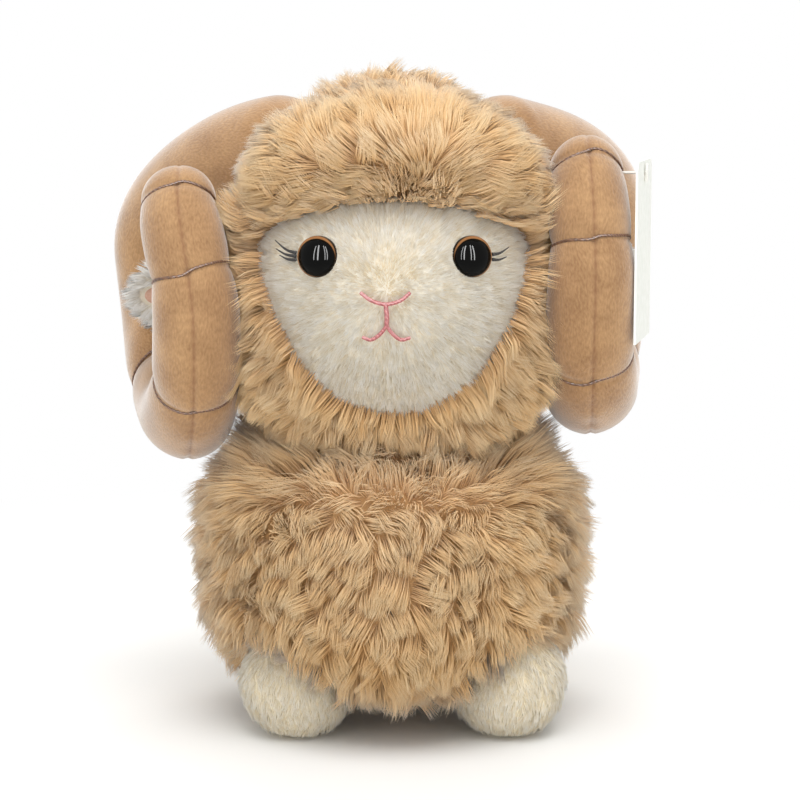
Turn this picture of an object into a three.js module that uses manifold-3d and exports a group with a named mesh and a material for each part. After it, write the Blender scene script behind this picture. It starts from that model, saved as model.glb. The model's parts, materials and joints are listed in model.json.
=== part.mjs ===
// Plush ram: a stuffed toy on four short feet, with a hooded head, a cream face and two curled horns.
// Millimetres, +Z up. The face looks along -Y. Left and right are the toy's own, so its left is at +X.
import * as THREE from "three";
import { mergeVertices } from "three/addons/utils/BufferGeometryUtils.js";
import Module from "manifold-3d";

const wasm = await Module();
wasm.setup();

// Fits between pieces.
const gap = 0.3; // pieces that rest on each other
const swingGap = 1.5; // where a limb leaves its socket and has to swing
const cutterReach = 5; // how far a cutter runs past the surface it opens

// Body: an upright barrel of long-pile fabric, filled with stuffing.
const bodyWidth = 160;
const bodyDepth = 164;
const bodyHeight = 104;
const bellyHeight = 9; // floor to the lowest point of the belly
const bodyBehindNeck = 10; // how far the middle of the body lies behind the neck
const shoulderSquareness = 5; // exponent of the upper half's outline, 2 is round
const bellySquareness = 2.6;
const pileThickness = 7; // long-pile fabric, pressed, with its backing
const tuftSpacing = 20; // tufts of the pile, in staggered rows
const tuftDepth = 4; // furrows between the rows
const tuftHang = 4; // how far the tips of a row hang below its hollows
const tuftSettled = 1.2; // crests under the smooth form, clear of what is cut to lie on it

// Neck: a ball on the shoulders, on which the head's hollow turns.
const neckRadius = 46;
const neckRise = 23; // how far the ball stands above the shoulders
const neckOpening = 40; // hole in the body cover, for the filling
const bandThickness = 1.5;
const bandWidth = 8;

// Head: an egg of the same fabric.
const headWidth = 132;
const headDepth = 128;
const headHeight = 156;
const headSettled = 3; // how far its lowest point lies below the top of the shoulders
const cheekSquareness = 2.5; // exponent of the lower half's outline
const headBeforeNeck = 2;

// Face: a domed panel of short pile, in an egg-shaped opening of the hood.
const eyeLineAboveMiddle = 7; // eye line over the middle of the head
const faceWidth = 102;
const faceAboveEyes = 21;
const faceBelowEyes = 65;
const faceThickness = 3.5;
const faceBulge = new THREE.Vector3(61, 56, 58); // half axes of the dome that the panel is part of
const faceBulgeForward = 16; // middle of that dome before the middle of the head
const faceBulgeDrop = 16; // and below the eye line
const faceSeat = 18; // how deep behind the middle of the head's front the panel's hollow starts

// Eyes: safety eyes with a post and a washer behind the panel.
const eyeDiameter = 16;
const eyeSpacing = 58;
const eyeDome = 6;
const eyeToeOut = 20; // degrees
const eyeLookUp = 8;
const postDiameter = 5;
const postLength = 14;
const washerDiameter = 14;
const washerThickness = 2;
const washerDepth = 6.5; // washer behind the eye's back

// Forelock: the padded roll above the face.
const forelockWidth = 134;
const forelockDepth = 72;
const forelockHeight = 50;
const forelockBefore = 32; // before the middle of the head
const forelockAbove = 44.5;
const forelockDroop = 13; // how far its ends hang

// Horns: a tapered tube from the side of the crown, back, down, forward and up again beside the cheek.
const hornRootTurn = 25; // degrees behind the side of the head
const hornRootRise = 39; // degrees above the middle of the head
const hornRootInset = 4;
const hornRootRadius = 24.5;
const hornTipRadius = 15.5;
const hornSweep = 302; // degrees of curl
const curlRadius = 51.5;
const curlBehind = 10; // middle of the curl behind the middle of the head
const curlDrop = 6; // and below it
const curlSewnHigh = 5; // the left curl is sewn higher by this, the right one lower
const curlSewnIn = 4; // and closer to the head at its back and tip, the right one further out
const hornBackReach = 26; // back of the curl out from the side of the head
const hornFrontReach = 10.5; // front of the curl
const hornTipFlare = 3;
const hornBackShare = 0.22; // share of the horn's length at which its back is reached
const hornFrontShare = 0.82;
const hornThickness = 2.5; // short-nap fabric
const hornOpening = 26; // hole at the root, for the filling
const ringFromTip = 2; // first stitched ring
const ringSpacing = 29; // to the second ring
const ringGrowth = 1.62; // each spacing over the one before
const ringCount = 4;
const ringDip = 0.06; // how far the stitching draws the tube in
const ringReach = 6;

// Ears: leaves that stand out through the curl of the horn.
const earLength = 47;
const earHeight = 31;
const earThickness = 13;
const earDrop = 4; // below the middle of the curl
const earLaidBack = 13; // degrees
const earLaidBackMore = 13; // the left ear, beside the tag, by this more and the right one less
const earBallRadius = 8;
const earRim = 4; // back's rim round the lining
const earLiningThickness = 2;

// Feet: short round legs of short-pile fabric.
const footSpacing = 84;
const footSewnAside = 4; // to the toy's left of the body's middle
const footFront = 38; // before the middle of the body
const footBack = 36; // behind it
const footRadius = 23;
const footFlat = 1.6; // how far the sole is pressed flat
const footThickness = 2.5;
const footOpening = 18;

// Tail.
const tailLength = 30;
const tailWidth = 30;
const tailHeight = 24;
const tailAbove = 50; // over the belly
const tailBallRadius = 9;
const tailRoom = 4; // between the tail and the body, for the wag

// Hang tag: a bare card on a plastic pin at the left horn.
const tagWidth = 42;
const tagHeight = 70;
const tagThickness = 0.8;
const tagCorner = 3;
const tagTurn = 14; // degrees, its face turned forward
const tagHole = 4;
const tagHoleDrop = 6; // below the card's top edge
const pinDiameter = 1.2;
const pinDepth = 8; // cross bar below the horn's surface
const crossBarLength = 8;
const crossBarDiameter = 1.8;
const paddleLength = 7;
const paddleWidth = 3;
const paddleThickness = 1;

// Fineness of the facets.
const around = 22; // outer forms
const upDown = 12;
const innerAround = 12; // linings, fillings and sockets
const innerUpDown = 8;
const hornSides = 10;
const hornStep = 15;

// Places that follow from the sizes.
const degree = Math.PI / 180;
const bodyTop = bellyHeight + bodyHeight;
const bodyHalf = new THREE.Vector3(bodyWidth / 2, bodyDepth / 2, bodyHeight / 2);
const bodyMiddle = new THREE.Vector3(0, bodyBehindNeck, bellyHeight + bodyHalf.z);
const neck = new THREE.Vector3(0, 0, bodyTop + neckRise - neckRadius);
const headHalf = new THREE.Vector3(headWidth / 2, headDepth / 2, headHeight / 2);
const head = new THREE.Vector3(0, -headBeforeNeck, bodyTop - headSettled + headHalf.z);
const eyeLine = head.z + eyeLineAboveMiddle;
const faceDome = new THREE.Vector3(0, head.y - faceBulgeForward, eyeLine - faceBulgeDrop);
const bandInside = (neckRadius + gap) / Math.cos(Math.PI / around); // its facets clear the ball
const neckSocket = bandInside + bandThickness + gap;

function solidFrom(geometry) {
  const bare = new THREE.BufferGeometry();
  bare.setAttribute("position", geometry.getAttribute("position"));
  bare.setIndex(geometry.index);
  const merged = mergeVertices(bare, 1e-4);
  const corners = merged.index.array;
  const kept = [];
  for (let i = 0; i < corners.length; i += 3) {
    const [a, b, c] = corners.slice(i, i + 3);
    if (a !== b && b !== c && c !== a) kept.push(a, b, c);
  }
  const vertProperties = new Float32Array(merged.getAttribute("position").array);
  return new wasm.Manifold(new wasm.Mesh({ numProp: 3, vertProperties, triVerts: new Uint32Array(kept) }));
}

function geometryFrom(solid) {
  const mesh = solid.getMesh();
  const positions = new Float32Array(mesh.numVert * 3);
  for (let i = 0; i < mesh.numVert; i++) {
    for (let k = 0; k < 3; k++) positions[3 * i + k] = mesh.vertProperties[mesh.numProp * i + k];
  }
  const geometry = new THREE.BufferGeometry();
  geometry.setAttribute("position", new THREE.BufferAttribute(positions, 3));
  geometry.setIndex(new THREE.BufferAttribute(new Uint32Array(mesh.triVerts), 1));
  geometry.computeVertexNormals();
  return geometry;
}

function cut(solid, ...tools) {
  return tools.reduce((rest, tool) => rest.subtract(tool), solid);
}

function grown(half, by) {
  return half.clone().addScalar(by);
}

function egg(middle, half, sides = around, rows = upDown) {
  const geometry = new THREE.SphereGeometry(1, sides, rows).rotateX(Math.PI / 2);
  return solidFrom(geometry.scale(half.x, half.y, half.z).translate(middle.x, middle.y, middle.z));
}

function ball(middle, radius, sides = around, rows = upDown) {
  return egg(middle, new THREE.Vector3(radius, radius, radius), sides, rows);
}

// The hollow for a ball: its facets lie outside the radius, so a faceted ball can turn in it.
function socket(middle, radius, sides = innerAround, rows = innerUpDown) {
  const outside = radius / (Math.cos(Math.PI / sides) * Math.cos(Math.PI / (2 * rows)));
  return ball(middle, outside, sides, rows);
}

// A turned solid on a vertical axis: profile points are (radius, height), from the bottom up.
function turned(profile, sides = around) {
  return new THREE.LatheGeometry(profile, sides).rotateX(Math.PI / 2);
}

// A turned solid whose own axis, its Z, is laid along a direction from a point.
function turnedAlong(profile, origin, direction, sides) {
  const turn = new THREE.Quaternion().setFromUnitVectors(new THREE.Vector3(0, 0, 1), direction);
  const geometry = turned(profile, sides).applyQuaternion(turn);
  return solidFrom(geometry.translate(origin.x, origin.y, origin.z));
}

function profileFrom(pairs) {
  return pairs.map(([radius, height]) => new THREE.Vector2(radius, height));
}

function rod(origin, direction, radius, from, to, sides = 12) {
  const profile = profileFrom([[0, from], [radius, from], [radius, to], [0, to]]);
  return turnedAlong(profile, origin, direction, sides);
}

const up = new THREE.Vector3(0, 0, 1);

// Half the outline of a stuffed form: a squared-off oval with its own squareness above and below its middle.
function puffedProfile(half, squareAbove, squareBelow, rows) {
  const profile = [];
  for (let i = 0; i <= rows; i++) {
    const angle = Math.PI * (i / rows - 0.5);
    const power = 2 / (angle > 0 ? squareAbove : squareBelow);
    const height = Math.sign(angle) * Math.abs(Math.sin(angle)) ** power;
    const atPole = i === 0 || i === rows;
    profile.push(new THREE.Vector2(atPole ? 0 : half.x * Math.cos(angle) ** power, half.z * height));
  }
  return profile;
}

function puffed(middle, half, squareAbove, squareBelow, sides, rows) {
  const profile = puffedProfile(half, squareAbove, squareBelow, rows);
  const geometry = turned(profile, sides).scale(1, half.y / half.x, 1);
  return solidFrom(geometry.translate(middle.x, middle.y, middle.z));
}

// The same form in tufted long pile: rings of crests, whose tips hang in turn, with a furrow after each.
function tufted(middle, half, squareAbove, squareBelow) {
  const outline = new THREE.SplineCurve(puffedProfile(half, squareAbove, squareBelow, 4 * upDown));
  const length = outline.getLength();
  const rows = 2 * Math.round(length / tuftSpacing);
  const sides = 2 * Math.round((Math.PI * (half.x + half.y)) / tuftSpacing);
  const geometry = turned(outline.getSpacedPoints(rows), sides);
  const points = geometry.getAttribute("position");
  const point = new THREE.Vector3();
  for (let i = 0; i < points.count; i++) {
    const row = i % (rows + 1);
    const step = Math.floor(i / (rows + 1));
    const atPole = row === 0 || row === rows;
    const furrow = row % 2 === 1;
    const hang = atPole || furrow ? 0 : (tuftHang / 2) * (-1) ** (row / 2 + step);
    const { x: radius, y: height } = outline.getPointAt(row / rows + hang / length);
    const angle = (2 * Math.PI * step) / sides;
    const reach = atPole ? 0 : radius;
    point.set(reach * Math.cos(angle), (reach * Math.sin(angle) * half.y) / half.x, height);
    point.setLength(point.length() - tuftSettled - (furrow ? tuftDepth : 0));
    points.setXYZ(i, point.x, point.y, point.z);
  }
  return solidFrom(geometry.translate(middle.x, middle.y, middle.z));
}

function bodyForm(by, sides = around, rows = upDown) {
  return puffed(bodyMiddle, grown(bodyHalf, by), shoulderSquareness, bellySquareness, sides, rows);
}

function headForm(by, sides = around, rows = upDown) {
  return puffed(head, grown(headHalf, by), 2, cheekSquareness, sides, rows);
}

// The face opening, seen from the front: half an oval above the eye line and a longer one below it.
function faceOpening(offset, back) {
  const half = faceWidth / 2 + offset;
  const outline = new THREE.Shape();
  outline.absellipse(0, 0, half, faceAboveEyes + offset, 0, Math.PI);
  outline.absellipse(0, 0, half, faceBelowEyes + offset, Math.PI, 2 * Math.PI);
  const front = head.y - headDepth;
  const options = { depth: back - front, bevelEnabled: false, curveSegments: 9 };
  const geometry = new THREE.ExtrudeGeometry(outline, options).rotateX(Math.PI / 2);
  return solidFrom(geometry.translate(0, back, eyeLine));
}

// The middle line of a horn. Side is 1 for the toy's left and -1 for its right.
class HornLine extends THREE.Curve {
  constructor(side) {
    super();
    this.side = side;
    const turn = hornRootTurn * degree;
    const rise = hornRootRise * degree;
    const level = Math.cos(rise);
    const aim = new THREE.Vector3(level * Math.cos(turn), level * Math.sin(turn), Math.sin(rise));
    const toSurface = 1 / aim.clone().divide(headHalf).length();
    this.root = head.clone().addScaledVector(aim, toSurface - hornRootInset);
    this.middle = new THREE.Vector3(0, head.y + curlBehind, head.z - curlDrop + side * curlSewnHigh);
    this.startAngle = Math.atan2(this.root.z - this.middle.z, this.root.y - this.middle.y);
    this.startRadius = Math.hypot(this.root.z - this.middle.z, this.root.y - this.middle.y);
  }

  getPoint(share, target = new THREE.Vector3()) {
    const ease = (from, to) => THREE.MathUtils.smoothstep(share, from, to);
    const sewnIn = this.side * curlSewnIn;
    const back = headHalf.x + hornBackReach - sewnIn;
    const front = headHalf.x + hornFrontReach;
    const outward = Math.sin((Math.PI / 2) * Math.min(1, share / hornBackShare));
    let x = this.root.x + (back - this.root.x) * outward;
    x += (front - back) * ease(hornBackShare, hornFrontShare);
    x += (hornTipFlare - sewnIn) * ease(hornFrontShare, 1);
    const radius = this.startRadius + (curlRadius - this.startRadius) * ease(0, hornBackShare);
    const angle = this.startAngle - hornSweep * degree * share;
    const y = this.middle.y + radius * Math.cos(angle);
    const z = this.middle.z + radius * Math.sin(angle);
    return target.set(this.side * x, y, z);
  }
}

// Distances of the stitched rings from the root.
function ringsOf(length) {
  const rings = [];
  for (let i = ringCount - 1; i >= 0; i--) {
    rings.push(length - ringFromTip - (ringSpacing * (ringGrowth ** i - 1)) / (ringGrowth - 1));
  }
  return rings.filter((ring) => ring > ringReach);
}

function hornRadius(distance, length, rings) {
  const taper = THREE.MathUtils.lerp(hornRootRadius, hornTipRadius, distance / length);
  const drawn = rings.reduce((sum, ring) => sum + Math.exp(-(((distance - ring) / ringReach) ** 2)), 0);
  return taper * (1 - ringDip * drawn);
}

// Stations along a horn, with a frame carried along without twist.
function hornStations(line, step) {
  const length = line.getLength();
  const rings = ringsOf(length);
  const stops = [0, ...rings, length];
  const distances = [0];
  for (let i = 1; i < stops.length; i++) {
    const span = stops[i] - stops[i - 1];
    const pieces = Math.max(1, Math.round(span / step));
    for (let k = 1; k <= pieces; k++) distances.push(stops[i - 1] + (span * k) / pieces);
  }
  const stations = [];
  let normal = up.clone();
  for (const distance of distances) {
    const tangent = line.getTangentAt(distance / length);
    normal = normal.clone().addScaledVector(tangent, -normal.dot(tangent)).normalize();
    const radius = hornRadius(distance, length, rings);
    const binormal = tangent.clone().cross(normal);
    stations.push({ middle: line.getPointAt(distance / length), tangent, normal, binormal, radius });
  }
  return stations;
}

// A tube round the stations with rounded ends.
function hornTube(stations, inset, sides, capRows = 3) {
  const first = stations[0];
  const last = stations[stations.length - 1];
  const rows = [];
  const capRow = (end, sign, row) => {
    const angle = (Math.PI / 2) * (row / capRows);
    const radius = end.radius - inset;
    const middle = end.middle.clone().addScaledVector(end.tangent, sign * radius * Math.sin(angle));
    return { ...end, middle, radius: radius * Math.cos(angle) };
  };
  for (let row = capRows - 1; row >= 1; row--) rows.push(capRow(first, -1, row));
  for (const station of stations) rows.push({ ...station, radius: station.radius - inset });
  for (let row = 1; row < capRows; row++) rows.push(capRow(last, 1, row));

  const positions = [];
  for (const { middle, normal, binormal, radius } of rows) {
    for (let k = 0; k < sides; k++) {
      const angle = (2 * Math.PI * k) / sides;
      const corner = middle.clone().addScaledVector(normal, radius * Math.cos(angle));
      positions.push(...corner.addScaledVector(binormal, radius * Math.sin(angle)).toArray());
    }
  }
  positions.push(...first.middle.clone().addScaledVector(first.tangent, inset - first.radius).toArray());
  positions.push(...last.middle.clone().addScaledVector(last.tangent, last.radius - inset).toArray());

  const corners = [];
  const start = rows.length * sides;
  for (let k = 0; k < sides; k++) {
    const next = (k + 1) % sides;
    for (let row = 0; row + 1 < rows.length; row++) {
      const low = row * sides;
      const high = low + sides;
      corners.push(low + k, low + next, high + next, low + k, high + next, high + k);
    }
    corners.push(start, next, k, start + 1, start - sides + k, start - sides + next);
  }
  const geometry = new THREE.BufferGeometry();
  geometry.setAttribute("position", new THREE.Float32BufferAttribute(positions, 3));
  geometry.setIndex(corners);
  return solidFrom(geometry);
}

// The point of the head's surface straight out to one side, at a given depth and height.
function headSide(side, y, z) {
  const square = z > head.z ? 2 : cheekSquareness;
  const level = (1 - Math.abs((z - head.z) / headHalf.z) ** square) ** (1 / square);
  const out = Math.sqrt(level ** 2 - ((y - head.y) / headHalf.y) ** 2);
  return new THREE.Vector3(side * headHalf.x * out, y, z);
}

const sides = [["left", 1], ["right", -1]];
const pieces = {};
const pivots = { neck };
const headTools = [];

// Horns, and what the head gives way to.
const hornTools = {};
const horns = {};
for (const [name, side] of sides) {
  const line = new HornLine(side);
  const fine = hornStations(line, hornStep);
  const coarse = hornStations(line, hornStep * 1.4);
  const inner = hornTube(coarse, hornThickness, hornSides - 2, 2);
  const root = fine[0].middle;
  const inward = fine[0].tangent.clone().negate();
  const opening = rod(root, inward, hornOpening / 2, hornRootRadius / 2, hornRootRadius + cutterReach);
  pieces[`horn_cover_${name}`] = cut(hornTube(fine, 0, hornSides), inner, opening);
  pieces[`horn_stuffing_${name}`] = hornTube(coarse, hornThickness + gap, hornSides - 2, 2);
  const seat = socket(root, hornRootRadius + gap);
  const collar = rod(root, inward, hornRootRadius + swingGap, -hornStep, 0, innerAround);
  hornTools[name] = hornTube(fine.slice(1), -swingGap, hornSides).add(collar).add(seat);
  headTools.push(hornTools[name]);
  pivots[`horn_${name}`] = root;
  horns[name] = { line, stations: fine };
}

// Ears. Each is made along X, laid back and set on the side of the head.
for (const [name, side] of sides) {
  const curl = horns[name].line.middle;
  const pivot = headSide(side, curl.y, curl.z - earDrop);
  const laidBack = side * (earLaidBack + side * earLaidBackMore) * degree;
  const earEgg = (half, along, before, rings = 12, rows = 7) => {
    const geometry = new THREE.SphereGeometry(1, rings, rows).rotateX(Math.PI / 2);
    geometry.scale(half.x, half.y, half.z).translate(side * along, -before, 0).rotateZ(laidBack);
    return solidFrom(geometry.translate(pivot.x, pivot.y, pivot.z));
  };
  const half = new THREE.Vector3(earLength / 2, earThickness / 2, earHeight / 2);
  const hollowHalf = new THREE.Vector3(half.x - earRim, half.y, half.z - earRim);
  const hollowAlong = half.x + earRim / 2;
  const clearHead = headForm(swingGap);
  const leaf = earEgg(half, half.x, 0, 14, 7);
  const back = cut(leaf, clearHead, hornTools[name], earEgg(hollowHalf, hollowAlong, half.y));
  pieces[`ear_back_${name}`] = back.add(ball(pivot, earBallRadius, 10, 6));
  const lining = earEgg(grown(hollowHalf, -gap), hollowAlong, half.y).intersect(leaf);
  const liningFront = earEgg(hollowHalf, hollowAlong, half.y + earLiningThickness);
  const ballRoom = socket(pivot, earBallRadius + gap, 12, 7);
  pieces[`ear_lining_${name}`] = cut(lining, liningFront, clearHead, ballRoom);
  headTools.push(ballRoom);
  pivots[`ear_${name}`] = pivot;
}

// Eyes: the back of each dome lies on the face's dome, turned a little outward and up.
const eyeTools = [];
const eyePockets = [];
for (const [name, side] of sides) {
  const x = eyeSpacing / 2;
  const z = eyeLine - faceDome.z;
  const depth = faceBulge.y * Math.sqrt(1 - (x / faceBulge.x) ** 2 - (z / faceBulge.z) ** 2);
  const seat = new THREE.Vector3(side * x, faceDome.y - depth, eyeLine);
  const toe = eyeToeOut * degree;
  const lift = eyeLookUp * degree;
  const level = Math.cos(lift);
  const axis = new THREE.Vector3(side * Math.sin(toe) * level, -Math.cos(toe) * level, Math.sin(lift));
  const radius = eyeDiameter / 2;
  const profile = profileFrom([[0, -postLength], [postDiameter / 2, -postLength], [postDiameter / 2, 0]]);
  for (let i = 0; i <= 5; i++) {
    const angle = (Math.PI / 2) * (i / 5);
    profile.push(new THREE.Vector2(i === 5 ? 0 : radius * Math.cos(angle), eyeDome * Math.sin(angle)));
  }
  pieces[`eye_${name}`] = turnedAlong(profile, seat, axis, 16);
  const washer = rod(seat, axis, washerDiameter / 2, -washerDepth - washerThickness, -washerDepth, 12);
  const postHole = rod(seat, axis, postDiameter / 2 + gap, -postLength - gap, 1);
  pieces[`eye_washer_${name}`] = cut(washer, postHole);
  const washerBack = -washerDepth - washerThickness - gap;
  const washerRoom = rod(seat, axis, washerDiameter / 2 + gap, washerBack, gap - washerDepth);
  eyeTools.push(postHole, washerRoom, rod(seat, axis, radius + gap, -gap, radius, 16));
  eyePockets.push(postHole, rod(seat, axis, washerDiameter / 2 + gap, washerBack, radius));
}

// Head.
const neckHollow = socket(neck, neckSocket, around, upDown);
const faceBack = head.y - faceSeat;
const hoodInside = headForm(-pileThickness, innerAround, innerUpDown);
const hoodOutside = tufted(head, headHalf, 2, cheekSquareness);
pieces.head_hood = cut(hoodOutside, hoodInside, faceOpening(gap, faceBack), neckHollow, ...headTools);
const faceInside = egg(faceDome, grown(faceBulge, -faceThickness));
const faceShell = cut(egg(faceDome, faceBulge), faceInside);
pieces.face_panel = cut(faceShell.intersect(faceOpening(-gap, faceBack - gap)), ...eyeTools);
const muzzleDome = egg(faceDome, grown(faceBulge, -faceThickness - gap));
const muzzle = muzzleDome.intersect(faceOpening(-gap, faceBack + pileThickness));
const skullWhole = headForm(-pileThickness - gap, innerAround, innerUpDown);
const skull = cut(skullWhole, faceOpening(gap, faceBack));
pieces.head_stuffing = cut(skull.add(muzzle), neckHollow, ...headTools, ...eyePockets);

// Forelock: an egg whose ends droop, cut to lie on the hood.
const forelockHalf = new THREE.Vector3(forelockWidth / 2, forelockDepth / 2, forelockHeight / 2);
const roll = new THREE.SphereGeometry(1, around, 10).rotateX(Math.PI / 2);
roll.scale(forelockHalf.x, forelockHalf.y, forelockHalf.z);
const rollPoints = roll.getAttribute("position");
for (let i = 0; i < rollPoints.count; i++) {
  const out = rollPoints.getX(i) / forelockHalf.x;
  rollPoints.setZ(i, rollPoints.getZ(i) - forelockDroop * out * out);
}
roll.translate(0, head.y - forelockBefore, head.z + forelockAbove);
const underForelock = [headForm(gap), egg(faceDome, grown(faceBulge, gap))];
pieces.forelock = cut(solidFrom(roll), ...underForelock, hornTools.left, hornTools.right);

// Feet, and what the body gives way to. Each foot is a ball with a flat sole.
const footPivot = footRadius - footFlat;
function foot(ground, inset, sides, rows) {
  const radius = footRadius - inset;
  const sole = Math.asin((inset - footPivot) / radius);
  const profile = [new THREE.Vector2(0, inset)];
  for (let i = 0; i <= rows; i++) {
    const angle = THREE.MathUtils.lerp(sole, Math.PI / 2, i / rows);
    const across = i === rows ? 0 : radius * Math.cos(angle);
    profile.push(new THREE.Vector2(across, footPivot + radius * Math.sin(angle)));
  }
  return turnedAlong(profile, ground, up, sides);
}

const bodyTools = [];
const legs = [["front", -footFront], ["back", footBack]];
for (const [end, along] of legs) {
  for (const [name, side] of sides) {
    const aside = footSewnAside + (side * footSpacing) / 2;
    const ground = new THREE.Vector3(aside, bodyMiddle.y + along, 0);
    const pivot = ground.clone().setZ(footPivot);
    const opening = rod(pivot, up, footOpening / 2, footRadius / 2, footRadius + cutterReach);
    const hollow = foot(ground, footThickness, 12, 7);
    pieces[`foot_cover_${end}_${name}`] = cut(foot(ground, 0, 16, 9), hollow, opening);
    pieces[`foot_stuffing_${end}_${name}`] = foot(ground, footThickness + gap, 12, 7);
    bodyTools.push(socket(pivot, footRadius + gap));
    pivots[`foot_${end}_${name}`] = pivot;
  }
}

// Tail.
const bodyBack = bodyMiddle.y + bodyDepth / 2;
const tailPivot = new THREE.Vector3(0, bodyBack - tailBallRadius / 3, bellyHeight + tailAbove);
const tailHalf = new THREE.Vector3(tailWidth / 2, tailLength / 2, tailHeight / 2);
const tailMiddle = tailPivot.clone().add(new THREE.Vector3(0, tailHalf.y, 0));
const tailLeaf = cut(egg(tailMiddle, tailHalf, 12, 7), bodyForm(tailRoom));
pieces.tail = tailLeaf.add(ball(tailPivot, tailBallRadius, 12, 7));
bodyTools.push(socket(tailPivot, tailBallRadius + gap, 12, 7));
pivots.tail = tailPivot;

// Body: a cover with holes for the neck's filling and the legs, and the stuffing in it.
const neckHole = rod(neck, up, neckOpening / 2, 0, neckRadius + cutterReach, innerAround);
const barrel = tufted(bodyMiddle, bodyHalf, shoulderSquareness, bellySquareness);
const bodyOutside = barrel.add(ball(neck, neckRadius));
const hollowBall = (inset) => ball(neck, neckRadius - inset, innerAround, innerUpDown);
const hollowBody = (inset) => bodyForm(-inset, innerAround, innerUpDown).add(hollowBall(inset));
pieces.body_cover = cut(bodyOutside, hollowBody(pileThickness), neckHole, ...bodyTools);
const plugRod = rod(neck, up, neckOpening / 2 - gap, 0, neckRadius + cutterReach, innerAround);
const plug = ball(neck, neckRadius).intersect(plugRod);
pieces.body_stuffing = cut(hollowBody(pileThickness + gap).add(plug), ...bodyTools);

// Neck band: a strip that follows the neck's ball round its opening.
const bandFrom = Math.asin((neckOpening / 2 + 2) / neckRadius);
const bandTo = bandFrom + bandWidth / neckRadius;
const bandArc = [0, 0.5, 1].map((share) => THREE.MathUtils.lerp(bandFrom, bandTo, share));
const bandPoint = (angle, radius) => new THREE.Vector2(radius * Math.sin(angle), radius * Math.cos(angle));
const bandProfile = [
  ...bandArc.map((angle) => bandPoint(angle, bandInside)),
  ...bandArc.toReversed().map((angle) => bandPoint(angle, bandInside + bandThickness)),
];
bandProfile.push(bandProfile[0].clone());
pieces.neck_band = turnedAlong(bandProfile, neck, up, around);

// Hang tag on the left horn: its plane lies just off the furthest point of the horn beside it.
const tagNormal = new THREE.Vector3(Math.cos(tagTurn * degree), -Math.sin(tagTurn * degree), 0);
const { line: tagLine, stations: tagStations } = horns.left;
const { middle: pinMiddle, radius: pinRadius } = tagStations[tagStations.length - 1];
const tagBottom = pinMiddle.z + tagHoleDrop - tagHeight;
const lowest = tagBottom - hornTipRadius;
const beside = tagStations.filter(({ middle }) => middle.z > lowest && middle.y < tagLine.middle.y);
const outTo = ({ middle, radius }) => middle.clone().sub(pinMiddle).dot(tagNormal) + radius;
const reach = Math.max(...beside.map(outTo));
const tagBack = pinMiddle.clone().addScaledVector(tagNormal, reach + gap);
const tagTurnAll = new THREE.Matrix4().makeRotationZ(Math.PI / 2 - tagTurn * degree);
const holeSlack = tagHole / 2 - pinDiameter / 2 - gap; // the card hangs by the top of its hole

// Card outline in its own plane: x along the card's width, y up, the pin at the origin.
function cardGeometry() {
  const top = tagHoleDrop - holeSlack;
  const outline = new THREE.Shape();
  const half = tagWidth / 2;
  outline.moveTo(half - tagCorner, top);
  outline.lineTo(tagCorner - half, top);
  outline.lineTo(-half, top - tagCorner);
  outline.lineTo(-half, top - tagHeight);
  outline.lineTo(half, top - tagHeight);
  outline.lineTo(half, top - tagCorner);
  outline.closePath();
  const hole = new THREE.Path().absarc(0, -holeSlack, tagHole / 2, 0, 2 * Math.PI, true);
  outline.holes.push(hole);
  return new THREE.ExtrudeGeometry(outline, { depth: tagThickness, bevelEnabled: false, curveSegments: 8 });
}

function besideHorn(geometry) {
  geometry.rotateX(Math.PI / 2).applyMatrix4(tagTurnAll);
  return solidFrom(geometry.translate(tagBack.x, tagBack.y, tagBack.z));
}

pieces.hang_tag = besideHorn(cardGeometry());
const pinInner = -reach + pinRadius - pinDepth - gap; // cross bar along the pin, from the card's back
const pinOuter = tagThickness + gap;
const pinRod = (radius, from, to) => rod(tagBack, tagNormal, radius, from, to, 10);
const crossBar = (grow) => {
  const middle = tagBack.clone().addScaledVector(tagNormal, pinInner);
  const half = crossBarLength / 2 + grow;
  return rod(middle, up, crossBarDiameter / 2 + grow, -half, half, 10);
};
const paddleBox = new THREE.BoxGeometry(paddleWidth, paddleLength, paddleThickness);
const paddle = besideHorn(paddleBox.translate(0, 0, pinOuter + paddleThickness / 2));
const filament = pinRod(pinDiameter / 2, pinInner, pinOuter + paddleThickness / 2);
pieces.tag_fastener = filament.add(crossBar(0)).add(paddle);
const pinTools = [pinRod(pinDiameter / 2 + gap, pinInner, pinOuter), crossBar(gap)];
pieces.horn_cover_left = cut(pieces.horn_cover_left, ...pinTools);
pieces.horn_stuffing_left = cut(pieces.horn_stuffing_left, ...pinTools);
pivots.hang_tag = tagBack;

// Colours of the fabrics and fittings.
const colours = {
  body_cover: 0xbb9566, head_hood: 0xc49d6b, forelock: 0xc9a472, tail: 0xbb9566, neck_band: 0xe8e2d4,
  face_panel: 0xe4decd, foot_cover: 0xd3c8b3, horn_cover: 0xbc9263, ear_back: 0xdddacd,
  ear_lining: 0xdcb39b, eye: 0x0b0d0a, eye_washer: 0xf1efe8, hang_tag: 0xebeee4, tag_fastener: 0xf0efe9,
  stuffing: 0xf4f2ec,
};

function colourOf(name) {
  if (name.includes("stuffing")) return colours.stuffing;
  const matches = Object.keys(colours).filter((key) => name.startsWith(key));
  return colours[matches.sort((a, b) => b.length - a.length)[0]];
}

const toy = new THREE.Group();
for (const [name, solid] of Object.entries(pieces)) {
  const material = new THREE.MeshStandardMaterial({ color: colourOf(name), roughness: 0.9 });
  const mesh = new THREE.Mesh(geometryFrom(solid), material);
  mesh.name = name;
  toy.add(mesh);
}

// The origin goes to the floor under the middle of the toy.
const box = new THREE.Box3().setFromObject(toy, true);
const middleOfBox = box.getCenter(new THREE.Vector3());
toy.position.set(-middleOfBox.x, -middleOfBox.y, -box.min.z);
toy.userData = { pivots, tagNormal };

export default toy;
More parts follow.
